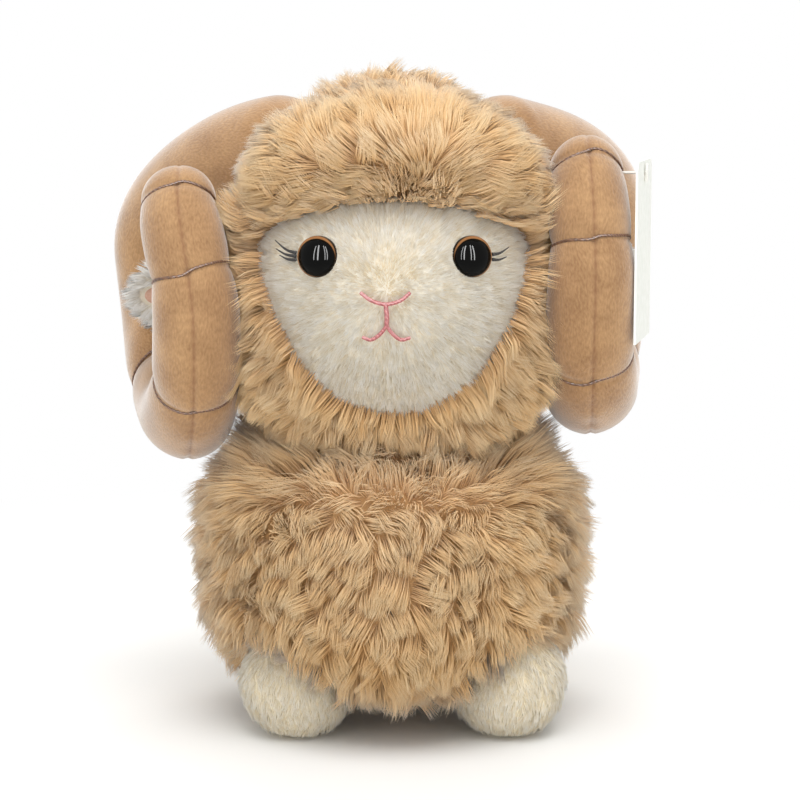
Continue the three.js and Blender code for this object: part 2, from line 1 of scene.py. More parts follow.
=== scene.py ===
"""Looks of a plush ram: long and short pile, napped horns, stitching, eyes, tag and studio."""

import json
import logging
from collections.abc import Callable, Sequence
from dataclasses import dataclass
from enum import Enum
from typing import ClassVar

import bpy
import numpy as np
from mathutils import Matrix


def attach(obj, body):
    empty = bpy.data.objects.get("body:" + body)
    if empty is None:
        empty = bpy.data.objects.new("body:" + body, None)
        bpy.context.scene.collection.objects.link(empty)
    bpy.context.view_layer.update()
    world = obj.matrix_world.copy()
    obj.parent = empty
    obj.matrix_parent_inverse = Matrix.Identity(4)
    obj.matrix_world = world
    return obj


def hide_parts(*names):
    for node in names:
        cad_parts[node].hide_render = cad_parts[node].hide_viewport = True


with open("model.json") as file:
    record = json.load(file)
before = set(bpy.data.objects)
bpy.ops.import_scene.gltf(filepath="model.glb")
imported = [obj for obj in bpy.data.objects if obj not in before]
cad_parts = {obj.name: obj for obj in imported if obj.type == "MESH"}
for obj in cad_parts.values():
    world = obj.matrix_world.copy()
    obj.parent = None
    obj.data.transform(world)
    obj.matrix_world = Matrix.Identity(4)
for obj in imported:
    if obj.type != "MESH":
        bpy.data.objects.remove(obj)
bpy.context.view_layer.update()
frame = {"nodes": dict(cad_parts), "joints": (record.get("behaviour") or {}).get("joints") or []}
LOG = logging.getLogger("plush_ram")

Array = np.ndarray
Point = tuple[float, float, float]
AtPoints = Callable[[Array], Array]  # a number, a direction or a yes or no for each point
Tree = bpy.types.NodeTree
Socket = bpy.types.NodeSocket
Feeds = dict[str | int, Socket | float | Sequence[float]]  # socket to a value, or to what drives it

MM = 0.001  # metres in a millimetre
JOINT_PLACES = {joint["name"]: np.array(joint["pos_m"]) / MM for joint in frame["joints"]}
# The toy's own frame has the neck's axis at x = y = 0 and the floor at z = 0.
TOY = JOINT_PLACES["neck_turn"] * (1.0, 1.0, 0.0)
UP = np.array([0.0, 0.0, 1.0])
PIECE_TRIANGLES = 190_000  # most triangles in one piece of pile
PILE_MAP = "OFBake"  # UV map of the hairs: tone across, root to tip upwards
STRAIGHT = (0.0, 1.0)  # a hair's root and tip, with no bend between them
SEARCH_BLOCK = 4000  # points that are compared with all the centres at once


class Side(Enum):
    """The toy's own sides; the value is the sign of x."""

    LEFT = 1
    RIGHT = -1

    @property
    def word(self) -> str:
        """The side's name as it stands in node names."""
        return self.name.lower()


class End(Enum):
    """The toy's ends, as they stand in node names."""

    FRONT = "front"
    BACK = "back"


FEET = [(end, side) for end in End for side in Side]


def joint_place(name: str) -> Array:
    """Gives a joint's place in the toy's frame, in mm."""
    return JOINT_PLACES[name] - TOY


def unit(vectors: Array) -> Array:
    """Gives vectors their direction with length one."""
    return vectors / np.maximum(np.linalg.norm(vectors, axis=-1, keepdims=True), 1e-9)


def ease(values: Array, low: float, high: float) -> Array:
    """Rises from 0 at low to 1 at high along 3t^2 - 2t^3."""
    t = np.clip((values - low) / (high - low), 0.0, 1.0)
    return t * t * (3.0 - 2.0 * t)


def bell(distance: Array, width: float) -> Array:
    """Falls from 1 at distance 0 as exp(-(distance / width)^2)."""
    return np.exp(-((distance / width) ** 2))


def round_angles(count: int) -> Array:
    """Angles at even steps once round."""
    return np.linspace(0, 2 * np.pi, count, endpoint=False)


def along_surface(wanted: Array, normals: Array) -> Array:
    """Lays wanted directions into the surface: what is left after taking off the normal's share."""
    return unit(wanted - (wanted * normals).sum(-1, keepdims=True) * normals)


def nearest(points: Array, centres: Array) -> Array:
    """Finds the nearest centre of each point, in blocks of whole arrays.

    Args:
        points: places to look from.
        centres: places to choose among.

    Returns:
        The number of the centre for each point.
    """
    blocks = np.array_split(points, max(1, len(points) // SEARCH_BLOCK))
    squares = (centres**2).sum(1)
    return np.concatenate([(squares - 2 * block @ centres.T).argmin(1) for block in blocks])


@dataclass
class Surface:
    """A closed skin of triangles, in mm in the toy's frame."""

    points: Array
    triangles: Array

    def corners(self) -> list[Array]:
        """The three corner points of every triangle."""
        return [self.points[self.triangles[:, k]] for k in range(3)]

    def spans(self) -> Array:
        """A vector along every triangle's normal, twice its area long."""
        first, second, third = self.corners()
        return np.cross(second - first, third - first)

    def faced_out(self) -> "Surface":
        """Turns the triangles round if the volume that they enclose comes out negative.

        Returns:
            The same skin.
        """
        first, second, third = self.corners()
        if (first * np.cross(second, third)).sum() < 0:
            self.triangles = self.triangles[:, ::-1]
        return self

    def normals(self) -> Array:
        """Point normals: the sum of the area vectors of the triangles round each point.

        Returns:
            One unit vector per point.
        """
        flat = self.triangles.T.ravel()
        spread = np.tile(self.spans(), (3, 1))
        sums = [np.bincount(flat, spread[:, k], len(self.points)) for k in range(3)]
        return unit(np.stack(sums, axis=1))

    def scatter(self, density: float, rng: np.random.Generator) -> tuple[Array, Array]:
        """Draws points evenly over the skin: a triangle by its area, then a place in it.

        Args:
            density: points per square mm.
            rng: seeded source of the draws.

        Returns:
            The points and their normals.
        """
        area = np.linalg.norm(self.spans(), axis=1) / 2
        drawn = rng.choice(len(area), int(area.sum() * density), p=area / area.sum())
        a, b = rng.random((2, len(drawn), 1))
        fold = a + b > 1
        a, b = np.where(fold, 1 - a, a), np.where(fold, 1 - b, b)
        shares = np.concatenate([1 - a - b, a, b], axis=1)[..., None]
        corners = self.triangles[drawn]
        points = (self.points[corners] * shares).sum(axis=1)
        return points, unit((self.normals()[corners] * shares).sum(axis=1))


def skin(rings: Array, closed: bool = False, ends: tuple[Array, Array] | None = None) -> Surface:
    """Covers a stack of rings with triangles: bands between neighbours, and a fan at each end.

    Args:
        rings: points, stacked as ring, place in the ring, axis.
        closed: joins the last ring to the first, with no fans.
        ends: points of the two fans, by default the middles of the end rings.

    Returns:
        The closed skin, facing out.
    """
    rows, sides, _ = rings.shape
    index = np.arange(rows * sides).reshape(rows, sides)
    low, high = (index, np.roll(index, -1, axis=0)) if closed else (index[:-1], index[1:])
    low_next, high_next = np.roll(low, -1, axis=1), np.roll(high, -1, axis=1)
    halves = ((low, low_next, high_next), (low, high_next, high))
    triangles = [np.stack(half, -1).reshape(-1, 3) for half in halves]
    points = rings.reshape(-1, 3)
    if not closed:
        first, last = ends or (rings[0].mean(0), rings[-1].mean(0))
        points = np.vstack([points, first, last])
        pole = np.full(sides, rows * sides)
        following = np.roll(index, -1, axis=1)
        triangles.append(np.stack([pole, following[0], index[0]], -1))
        triangles.append(np.stack([pole + 1, index[-1], following[-1]], -1))
    return Surface(points, np.concatenate(triangles)).faced_out()


def star(middle: Array, reach: AtPoints, rows: int = 80, sides: int = 112) -> Surface:
    """A form given by how far it reaches from its middle in each direction.

    Args:
        middle: point that sees the whole skin.
        reach: distance to the skin for an array of directions.
        rows: rings from pole to pole.
        sides: points round a ring.

    Returns:
        The closed skin.
    """
    polar = np.linspace(0, np.pi, rows + 2)[1:-1, None]
    turn = round_angles(sides)[None, :]
    flat = np.sin(polar) * np.ones_like(turn)
    ways = np.stack([flat * np.cos(turn), flat * np.sin(turn), np.cos(polar) * np.ones_like(turn)], -1)
    poles = np.stack([UP, -UP])
    ends = middle + poles * reach(poles)[:, None]
    return skin(middle + ways * reach(ways)[..., None], ends=(ends[0], ends[1]))


def turned(profile: Sequence[tuple[float, float]], seat: Array, axis: Array, sides: int = 72) -> Surface:
    """A turned form: each (radius, height) of the profile becomes a circle round the axis.

    Args:
        profile: radii and heights from one end to the other.
        seat: point of the axis at height 0.
        axis: direction of growing height.
        sides: points round a circle.

    Returns:
        The closed skin.
    """
    radius, height = (np.array(column)[:, None, None] for column in zip(*profile))
    off_axis = UP + (0.0, 0.01, 0.0)  # never quite along an upright axis
    side = unit(np.cross(axis, off_axis))
    other = np.cross(axis, side)
    angle = round_angles(sides)[None, :, None]
    return skin(seat + axis * height + radius * (side * np.cos(angle) + other * np.sin(angle)))


def thread(
    path: Array, radius: Array, out: Array, flatness: float, sides: int = 10, closed: bool = False
) -> Surface:
    """A thread along a path: an oval of the local radius, flattened along the direction out of the cloth.

    Args:
        path: points of the middle line.
        radius: half width at each point.
        out: direction out of the cloth at each point.
        flatness: height over width.
        sides: points round the oval.
        closed: the path is a ring.

    Returns:
        The closed skin.
    """
    if closed:
        way = unit(np.roll(path, -1, axis=0) - np.roll(path, 1, axis=0))
    else:
        way = unit(np.gradient(path, axis=0))
    rise = along_surface(out, way)
    across = np.cross(way, rise)
    angle = round_angles(sides)[None, :, None]
    oval = across[:, None] * np.cos(angle) + flatness * rise[:, None] * np.sin(angle)
    return skin(path[:, None] + radius[:, None, None] * oval, closed=closed)


def curve_through(points: Sequence[Sequence[float]], count: int) -> Array:
    """A smooth line through points: on each span the cubic whose slopes are half the neighbours' distance.

    Args:
        points: places on the line.
        count: samples on the whole line.

    Returns:
        The sampled points.
    """
    knots = np.array(points, float)
    padded = np.vstack([2 * knots[0] - knots[1], knots, 2 * knots[-1] - knots[-2]])
    place = np.linspace(0, len(knots) - 1, count)
    span = np.minimum(place.astype(int), len(knots) - 2)
    t = (place - span)[:, None]
    a, b, c, d = (padded[span + k] for k in range(4))
    return b + t * (c - a) / 2 + t**2 * (a - 2.5 * b + 2 * c - d / 2) + t**3 * (1.5 * (b - c) + (d - a) / 2)


@dataclass(frozen=True)
class Oval:
    """An ellipsoid, used to shape forms; mm."""

    middle: Point
    half: Point

    @classmethod
    def ball(cls, middle: Array, radius: float) -> "Oval":
        """A ball round a point."""
        return cls(tuple(middle), (radius, radius, radius))

    def crossings(self, origin: Array, ways: Array) -> tuple[Array, Array]:
        """Where rays enter and leave: the roots of the quadratic in the oval's own scale.

        Args:
            origin: start of every ray.
            ways: directions.

        Returns:
            Distance of the entry, infinite where there is none, and of the exit, 0 where there is none.
        """
        start = (origin - np.array(self.middle)) / self.half
        way = ways / np.array(self.half)
        a, b = (way**2).sum(-1), (way * start).sum(-1)
        inside = b**2 - a * ((start**2).sum() - 1)
        root = np.sqrt(np.maximum(inside, 0))
        enters = (inside > 0) & (-b - root > 0)
        leaves = (inside > 0) & (root - b > 0)
        return np.where(enters, (-b - root) / a, np.inf), np.where(leaves, (root - b) / a, 0.0)


def stuffed(ways: Array, half: Sequence[float], above: float, below: float) -> Array:
    """How far a stuffed, squared-off egg reaches: (flat^n + height^n)^(-1/n), n differing above and below.

    Args:
        ways: directions.
        half: half axes.
        above: n over the middle, 2 is round.
        below: n under the middle.

    Returns:
        The distance in each direction.
    """
    power = np.where(ways[..., 2] > 0, above, below)
    flat = np.hypot(ways[..., 0] / half[0], ways[..., 1] / half[1])
    return (flat**power + np.abs(ways[..., 2] / half[2]) ** power) ** (-1 / power)


def linear(hex_colour: str) -> tuple[float, float, float, float]:
    """Turns an sRGB hex colour to linear light.

    Args:
        hex_colour: six hex digits.

    Returns:
        Red, green, blue and alpha.
    """
    value = np.array([int(hex_colour[k : k + 2], 16) for k in (0, 2, 4)]) / 255
    light = np.where(value <= 0.04045, value / 12.92, ((value + 0.055) / 1.055) ** 2.4)
    return (*(float(x) for x in light), 1.0)


def add(
    tree: Tree, kind: str, feeds: Feeds | None = None, stops: Sequence[tuple[float, str]] = (), **settings
) -> bpy.types.Node:
    """Adds a node with its settings and links.

    Args:
        tree: node tree of a material or world.
        kind: Blender's name of the node's class.
        feeds: socket name or number to a value, or to the socket that drives it.
        stops: places and hex colours of a colour ramp, its two ends first.
        **settings: the node's own properties.

    Returns:
        The node.
    """
    node = tree.nodes.new(kind)
    for name, value in settings.items():
        setattr(node, name, value)
    for name, value in (feeds or {}).items():
        if isinstance(value, Socket):
            tree.links.new(value, node.inputs[name])
        else:
            node.inputs[name].default_value = value
    for number, (place, colour) in enumerate(stops):
        elements = node.color_ramp.elements
        stop = elements[number] if number < 2 else elements.new(place)
        stop.position, stop.color = place, linear(colour)
    return node


def own_place(tree: Tree) -> Socket:
    """Adds the place in the piece's own frame, in metres."""
    return add(tree, "ShaderNodeTexCoord").outputs["Object"]


def on_map(tree: Tree, map_name: str) -> Socket:
    """Adds the place on one of the piece's own maps."""
    return add(tree, "ShaderNodeUVMap", uv_map=map_name).outputs[0]


def noise(tree: Tree, where: Socket, across: float, detail: float) -> Socket:
    """Adds noise with patches of some mm; it repeats about once per 1 / scale metres."""
    feeds = {"Vector": where, "Scale": 1 / (across * MM), "Detail": detail}
    return add(tree, "ShaderNodeTexNoise", feeds).outputs[0]


def ramp(tree: Tree, value: Socket, *stops: tuple[float, str]) -> Socket:
    """Adds a ramp of hex colours over a value, its two ends first."""
    return add(tree, "ShaderNodeValToRGB", {0: value}, stops).outputs[0]


def mixed(tree: Tree, share: Socket, first: Socket, second: Socket | Sequence[float]) -> Socket:
    """Adds a colour that turns from the first to the second as the share grows."""
    return add(tree, "ShaderNodeMix", {0: share, 6: first, 7: second}, data_type="RGBA").outputs[2]


def bumped(tree: Tree, height: Socket, strength: float, depth: float) -> Socket:
    """Adds relief of some mm over a value."""
    feeds = {"Height": height, "Strength": strength, "Distance": depth * MM}
    return add(tree, "ShaderNodeBump", feeds).outputs[0]


def new_material(name: str) -> tuple[bpy.types.Material, Tree]:
    """Starts a node material with nothing in its tree.

    Args:
        name: what the piece is made of.

    Returns:
        The material and its tree.
    """
    material = bpy.data.materials.new(name)
    material.use_nodes = True
    material.node_tree.nodes.clear()
    return material, material.node_tree


@dataclass(frozen=True)
class Finish:
    """What a piece is made of; the name says the real material and how it was made."""

    name: str

    MADE: ClassVar[dict[str, bpy.types.Material]] = {}

    def feeds(self, tree: Tree) -> Feeds:
        """Adds the finish's own nodes and gives what goes into the principled shader."""
        raise NotImplementedError

    def material(self) -> bpy.types.Material:
        """Gives the material, made the first time it is asked for.

        Returns:
            The material, whose nodes end in one principled shader.
        """
        if self.name not in self.MADE:
            self.MADE[self.name], tree = new_material(self.name)
            shader = add(tree, "ShaderNodeBsdfPrincipled", self.feeds(tree))
            add(tree, "ShaderNodeOutputMaterial", {"Surface": shader.outputs[0]})
        return self.MADE[self.name]


@dataclass(frozen=True)
class PileFinish(Finish):
    """Brushed polyester pile: hairs darker at the root as painted shade deep in the pile, and a little apart
    in tone.
    """

    dark: tuple[str, str, str]  # root, middle and tip of the darkest hairs
    light: tuple[str, str, str]  # the same of the lightest
    sheen: float = 0.7

    def feeds(self, tree: Tree) -> Feeds:
        """Colour is a function of the hair's own map alone: tone across, root to tip upwards.

        Args:
            tree: the material's nodes.

        Returns:
            What goes into the shader.
        """
        tone, height, _ = add(tree, "ShaderNodeSeparateXYZ", {0: on_map(tree, PILE_MAP)}).outputs
        # The ramp darkens each hair towards its root: painted shade deep in the pile.
        dark, light = (
            ramp(tree, height, (0.0, root), (1.0, tip), (0.45, middle))
            for root, middle, tip in (self.dark, self.light)
        )
        feeds = {"Base Color": mixed(tree, tone, dark, light), "Roughness": 0.62, "Specular IOR Level": 0.3}
        return {**feeds, "Sheen Weight": self.sheen, "Sheen Roughness": 0.5}


@dataclass(frozen=True)
class NapFinish(Finish):
    """Knitted fabric with a short sheared nap: a soft grain that shifts in tone where it is stroked."""

    dark: str
    light: str
    grain: float  # mm across one tuft of the nap
    stroke: float = 14.0  # mm across a stroked patch
    height: float = 0.25  # mm of the nap's relief
    sheen: float = 0.35
    crease: str = ""  # map whose first value is 1 in a sewn crease
    # Colour of the seam's own line, with painted shade in its crease.
    crease_colour: str = "8a5c34"
    lay: str = ""  # map, in metres, along which the nap is brushed

    def feeds(self, tree: Tree) -> Feeds:
        """Noise at two scales gives tone, and the finer one, brushed along the lay, relief; a crease map
        darkens the seams with painted shade.

        Args:
            tree: the material's nodes.

        Returns:
            What goes into the shader.
        """
        place = own_place(tree)
        fine = noise(tree, on_map(tree, self.lay) if self.lay else place, self.grain, 3.0)
        broad = noise(tree, place, self.stroke, 2.0)
        tone = add(tree, "ShaderNodeMix", {0: 0.55, 2: broad, 3: fine}).outputs[0]
        colour = ramp(tree, tone, (0.3, self.dark), (0.7, self.light))
        # Seams darken along the crease map: their own line and painted shade in the crease.
        if self.crease:
            sewn = add(tree, "ShaderNodeSeparateXYZ", {0: on_map(tree, self.crease)}).outputs[0]
            colour = mixed(tree, sewn, colour, linear(self.crease_colour))
        feeds = {"Base Color": colour, "Normal": bumped(tree, fine, 0.6, self.height), "Roughness": 0.85}
        sheen = {"Sheen Weight": self.sheen, "Sheen Roughness": 0.45}
        return {**feeds, **sheen, "Specular IOR Level": 0.2}


@dataclass(frozen=True)
class ThreadFinish(Finish):
    """Rayon embroidery thread: a fine twist with a soft shine."""

    dark: str
    light: str
    twist: float = 0.9  # mm along one turn, drawn coarser than real so that it shows
    depth: float = 0.15  # mm of the twist's relief

    def feeds(self, tree: Tree) -> Feeds:
        """Diagonal bands in the piece's own place stand for the twist.

        Args:
            tree: the material's nodes.

        Returns:
            What goes into the shader.
        """
        scale = 1 / (self.twist * MM) / 3.2  # a wave of scale 1 has about 3.2 bands per unit
        feeds = {"Vector": own_place(tree), "Scale": scale, "Distortion": 2.0}
        bands = add(tree, "ShaderNodeTexWave", feeds, bands_direction="DIAGONAL").outputs["Fac"]
        colour = ramp(tree, bands, (0.1, self.dark), (0.9, self.light))
        feeds = {"Base Color": colour, "Normal": bumped(tree, bands, 0.5, self.depth), "Roughness": 0.45}
        return {**feeds, "Sheen Weight": 0.2}


@dataclass(frozen=True)
class EyeFinish(Finish):
    """Moulded acrylic safety eye, painted on its back and polished: black, with a copper rim."""

    pupil: str
    rim: str
    edge: str
    pupil_place: Point = (0.075, -0.065, 0.0)  # in radii of the eye, towards the nose and down
    map_name: str = "eye_face"

    def feeds(self, tree: Tree) -> Feeds:
        """Bands of the distance from the pupil's middle, inside a dark edge round the eye's own middle.

        Args:
            tree: the material's nodes.

        Returns:
            What goes into the shader.
        """
        face = on_map(tree, self.map_name)
        whole = add(tree, "ShaderNodeVectorMath", {0: face}, operation="LENGTH")
        apart = add(tree, "ShaderNodeVectorMath", {0: face, 1: self.pupil_place}, operation="DISTANCE")
        bands = ((0.875, self.pupil), (0.985, self.rim), (0.905, self.rim))
        paint = ramp(tree, apart.outputs["Value"], *bands)
        border = add(tree, "ShaderNodeMapRange", {0: whole.outputs["Value"], 1: 0.945, 2: 0.975})
        colour = mixed(tree, border.outputs[0], paint, linear(self.edge))
        return {"Base Color": colour, "Roughness": 0.03, "IOR": 1.49, "Specular IOR Level": 0.1}


@dataclass(frozen=True)
class SmoothFinish(Finish):
    """A plain moulded or rolled surface with a faint mottle, such as card or nylon."""

    dark: str
    light: str
    roughness: float
    mottle: float  # mm across a patch
    depth: float = 0.03  # mm of relief

    def feeds(self, tree: Tree) -> Feeds:
        """Noise in the piece's own place mottles the colour and roughens the surface.

        Args:
            tree: the material's nodes.

        Returns:
            What goes into the shader.
        """
        mottle = noise(tree, own_place(tree), self.mottle, 4.0)
        colour = ramp(tree, mottle, (0.35, self.dark), (0.65, self.light))
        normal = bumped(tree, mottle, 0.4, self.depth)
        return {"Base Color": colour, "Normal": normal, "Roughness": self.roughness}


# Golden hairs with pale tips and roots darkened as painted shade: the tufts of body, hood, forelock and
# tail.
TAN_PILE = PileFinish(
    "brushed polyester long pile", ("c58c49", "e2ad69", "f2c587"), ("e2ad69", "fbd195", "ffe7bc")
)
# Ivory fur that turns yellower and darker towards its roots, the darkening painted shade deep in the pile:
# the face.
CREAM_PILE = PileFinish(
    "sheared polyester short pile", ("cbb083", "dcc79c", "e8d8b8"), ("ece2cb", "f7f1e4", "fdfaf4")
)
# White fluff: the ears.
WHITE_PILE = PileFinish(
    "brushed white polyester pile", ("ece4d4", "f6f1e6", "fcf9f3"), ("f4ede0", "fcf8f0", "ffffff")
)
# A warm pale fuzz: the feet.
FOOT_PILE = PileFinish(
    "clipped polyester short pile", ("f2dcac", "fae9c6", "fff4dc"), ("fbeccb", "fff6e2", "fffdf4")
)
# Suede-like tan with brushed grain, stroked patches, a pale bloom at its edges, and seams darkened by their
# own line and by painted shade in the crease: the horns.
TAN_NAP = NapFinish(
    "sheared polyester velour", "8f653a", "c29766", grain=0.8, height=0.4, sheen=1.0,
    crease="sewing", lay="brushing",
)
# The ground between the hairs: tan knit, darker than the hairs as painted shade in the gaps of the pile,
# cream plush of the face, and that of the feet.
TAN_BACKING = NapFinish("knitted pile backing", "b58853", "cfa26c", grain=1.6)
CREAM_NAP = NapFinish("sheared cream plush", "e4d9c2", "efe7d6", grain=0.7, height=0.12)
FOOT_NAP = NapFinish("sheared short cream plush", "dccaa4", "ebddc0", grain=0.7, height=0.12)
# Soft rose inside the ears, and off-white tape under the neck's seam.
ROSE_NAP = NapFinish("sheared rose plush", "cf9c84", "e0b8a3", grain=0.9)
TAPE = NapFinish("woven cotton tape", "d5ccb8", "e8e2d4", grain=0.8)
# Beaded lines with a soft shine: brown rings on the horns, coral nose and mouth, black lashes.
RING_THREAD = ThreadFinish("brown rayon thread", "5c3a22", "7f5534")
NOSE_THREAD = ThreadFinish("coral rayon thread", "a54f50", "c46d6c")
LASH_THREAD = ThreadFinish("black rayon thread", "0c0c0c", "262422")
# Deep black with clear reflections and a copper crescent.
EYE = EyeFinish("polished acrylic eye", "050504", "a3734a", "1d120a")
# Plain white with a dull gleam: the tag, and its pin and the eyes' washers.
CARD = SmoothFinish("coated paperboard", "e9ebe2", "f2f3ec", roughness=0.42, mottle=3.0)
NYLON = SmoothFinish("moulded nylon", "e6e5de", "f1f0ea", roughness=0.35, mottle=2.0)


def place(
    name: str,
    surface: Surface,
    finish: Finish,
    body: str,
    slot: str,
    replaces: Sequence[str] = (),
    fill: float | None = None,
    maps: dict[str, Array] | None = None,
    shading: Array | None = None,
) -> None:
    """Puts a skin into the scene as one piece at the origin, with its place in its mesh.

    Args:
        name: piece name.
        surface: skin in the toy's frame.
        finish: what it is made of.
        body: body of the frame that it rides on.
        slot: material slot of the record; not used.
        replaces: nodes that it stands for.
        fill: how firmly it is stuffed, for a padded piece; not used.
        maps: UV map name to one (u, v) per point.
        shading: normals of the points for the light, where they aren't those of the skin.
    """
    mesh = bpy.data.meshes.new(name)
    mesh.vertices.add(len(surface.points))
    mesh.vertices.foreach_set("co", ((surface.points + TOY) * MM).astype(np.float32).ravel())
    corners = surface.triangles.astype(np.int32).ravel()
    mesh.loops.add(len(corners))
    mesh.loops.foreach_set("vertex_index", corners)
    mesh.polygons.add(len(surface.triangles))
    mesh.polygons.foreach_set("loop_start", np.arange(0, len(corners), 3, dtype=np.int32))
    for map_name, values in (maps or {}).items():
        layer = mesh.uv_layers.new(name=map_name)
        layer.data.foreach_set("uv", values[corners].astype(np.float32).ravel())
    mesh.update(calc_edges=True)
    mesh.shade_smooth()
    if shading is not None:
        mesh.normals_split_custom_set_from_vertices(shading)
    mesh.materials.append(finish.material())
    piece = bpy.data.objects.new(name, mesh)
    bpy.context.scene.collection.objects.link(piece)
    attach(piece, body)
    if replaces:
        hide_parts(*replaces)
    LOG.info("%s: %d triangles on %s", name, len(surface.triangles), body)


@dataclass(frozen=True)
class PileCut:
    """How a pile is cut and brushed; lengths in mm, angles in degrees."""

    length: float
    width: float
    density: float  # hairs per square mm
    rise: float  # angle off the backing at the root
    lie: float  # and at the tip
    lock: float  # distance between locks
    gather: float  # share by which the tips of a lock draw together
    stray: float  # spread of the locks' directions
    uneven: float = 0.12  # spread of the locks' lengths
    sway: float = 0.0  # how far the brushing wanders
    wave: float = 45.0  # distance over which it does
    blunt: float = 0.0  # share by which the hairs of a lock end in one front
    stations: tuple[float, ...] = (0.0, 0.5, 1.0)  # places of the rings along a hair, and its tip


@dataclass
class Pile:
    """A pile of separate hairs on a backing: three-sided, tapered and drawn together in locks."""

    name: str
    cut: PileCut
    finish: PileFinish
    body: str
    slot: str
    seed: int

    WIDEST: ClassVar[float] = 1.7  # most deviations by which a lock differs from the others
    LOCK_LIFT: ClassVar[float] = 8.0  # degrees by which locks stand up or lie down
    OWN_TURN: ClassVar[float] = 7.0  # degrees by which the hairs of a lock differ
    OWN_LENGTH: ClassVar[float] = 0.06  # share by which they do
    SHORTEST: ClassVar[float] = 0.4  # share of its length that a trimmed hair keeps
    STEPS: ClassVar[int] = 12  # steps in which a hair's bend is summed up
    TAPER: ClassVar[float] = 0.5  # a hair narrows by this share times t^2, then to its point
    OWN_LIGHT: ClassVar[float] = 0.5  # share of a hair's own normal in its light

    def comb(self, roots: Array, normals: Array, flow: Array, lengths: Array) -> tuple[Array, Array]:
        """Middle lines of the hairs.

        A hair leaves the backing at the rise angle and bends over to the lie angle along the flow, which
        wanders as a sum of three sines. Each lock turns its hairs aside by its own angle, pulls them towards
        the hair at its middle as t^1.4, and trims those that start ahead of it.

        Args:
            roots: points on the backing.
            normals: unit normals there.
            flow: directions in which the pile is brushed.
            lengths: share of the cut's length for each hair.

        Returns:
            Points as hair, station, axis; and each hair's tone from 0 to 1.
        """
        cut, rng = self.cut, np.random.default_rng(self.seed)
        cells = np.floor((roots + rng.uniform(0, cut.lock, 3)) / cut.lock).astype(int)
        _, centres = np.unique(cells, axis=0, return_index=True)
        lock = nearest(roots, roots[centres])
        of_locks = np.clip(rng.normal(size=(4, len(centres))), -self.WIDEST, self.WIDEST)
        lock_turn, lock_length, lock_lift, lock_tone = of_locks[:, lock]
        own_turn, own_length, own_tone, _ = rng.normal(size=(4, len(roots)))
        waves = unit(rng.normal(size=(3, 3))) * 2 * np.pi / cut.wave
        wander = np.sin(roots @ waves.T + rng.uniform(0, 2 * np.pi, 3)).sum(axis=1)
        turn = np.radians(cut.stray * lock_turn + cut.sway * wander + self.OWN_TURN * own_turn)[:, None]
        way = flow * np.cos(turn) + np.cross(normals, flow) * np.sin(turn)
        full = cut.length * lengths
        length = full * (1 + cut.uneven * lock_length + self.OWN_LENGTH * own_length)
        length -= cut.blunt * ((roots - roots[centres][lock]) * way).sum(axis=1)
        step = np.maximum(length, self.SHORTEST * full)[:, None] / self.STEPS
        t = np.linspace(0, 1, self.STEPS + 1)[None]
        angle = np.radians(cut.rise + (cut.lie - cut.rise) * t**0.7 + self.LOCK_LIFT * lock_lift[:, None])
        sums = [np.cumsum(wave(angle) * step, axis=1) - wave(angle) * step / 2 for wave in (np.cos, np.sin)]
        stations = np.array(cut.stations)
        picks = np.round(stations * self.STEPS).astype(int)
        ahead, above = (np.where(picks == 0, 0.0, total[:, picks])[..., None] for total in sums)
        lines = roots[:, None] + way[:, None] * ahead + normals[:, None] * above
        lines = lines + (lines[centres][lock] - lines) * cut.gather * (stations**1.4)[None, :, None]
        return lines, np.clip(0.5 + 0.17 * lock_tone + 0.2 * own_tone, 0, 1)

    def skin_hairs(self, lines: Array, tone: Array, normals: Array) -> tuple[Surface, Array, Array]:
        """Three-sided hairs round middle lines, closed at the root and drawn to a point at the tip.

        Fine fibres pass light on, so they are lit much as the cloth under them is: a point's normal for the
        light is the one given, plus a share of the hair's own.

        Args:
            lines: points as hair, station, axis.
            tone: tone of each hair.
            normals: for each hair, the normal of the cloth or of the roll of hairs that it is part of.

        Returns:
            The skin of all the hairs, and for its points the map of tone and place and the normals.
        """
        rng = np.random.default_rng(self.seed + 1)
        count, stations, _ = lines.shape
        rings = stations - 1
        way = unit(np.gradient(lines, axis=1))
        side = unit(np.cross(way, unit(rng.normal(size=(count, 1, 3)))))
        other = np.cross(way, side)
        t = np.array(self.cut.stations[:rings])
        half = self.cut.width / 2 * (1 - self.TAPER * t**2)
        angle = np.radians([0, 120, 240])[:, None]
        round_hair = side[:, :rings, None] * np.cos(angle) + other[:, :rings, None] * np.sin(angle)
        corners = lines[:, :rings, None] + half[None, :, None, None] * round_hair
        points = np.concatenate([corners.reshape(count, -1, 3), lines[:, -1:]], axis=1)
        own = np.concatenate([round_hair.reshape(count, -1, 3), way[:, -1:]], axis=1)
        shading = unit(normals[:, None] + self.OWN_LIGHT * own)
        wall = []
        for ring in range(rings - 1):
            for k in range(3):
                a, b = 3 * ring + k, 3 * ring + (k + 1) % 3
                wall += [(a, b, b + 3), (a, b + 3, a + 3)]
        top, tip = 3 * (rings - 1), 3 * rings
        wall += [(top + k, top + (k + 1) % 3, tip) for k in range(3)]
        pattern = np.array([(0, 2, 1), *wall])
        first = np.arange(count)[:, None, None] * (tip + 1)
        # The map keeps a margin, and each hair has a sliver of width on it.
        across = 0.03 + 0.94 * tone[:, None] + 0.006 * np.append(np.tile([-1, 0, 1], rings), 0)
        upwards = np.broadcast_to(0.02 + 0.96 * np.append(np.repeat(t, 3), 1.0), across.shape)
        surface = Surface(points.reshape(-1, 3), (pattern + first).reshape(-1, 3))
        return surface, np.stack([across, upwards], -1).reshape(-1, 2), shading.reshape(-1, 3)

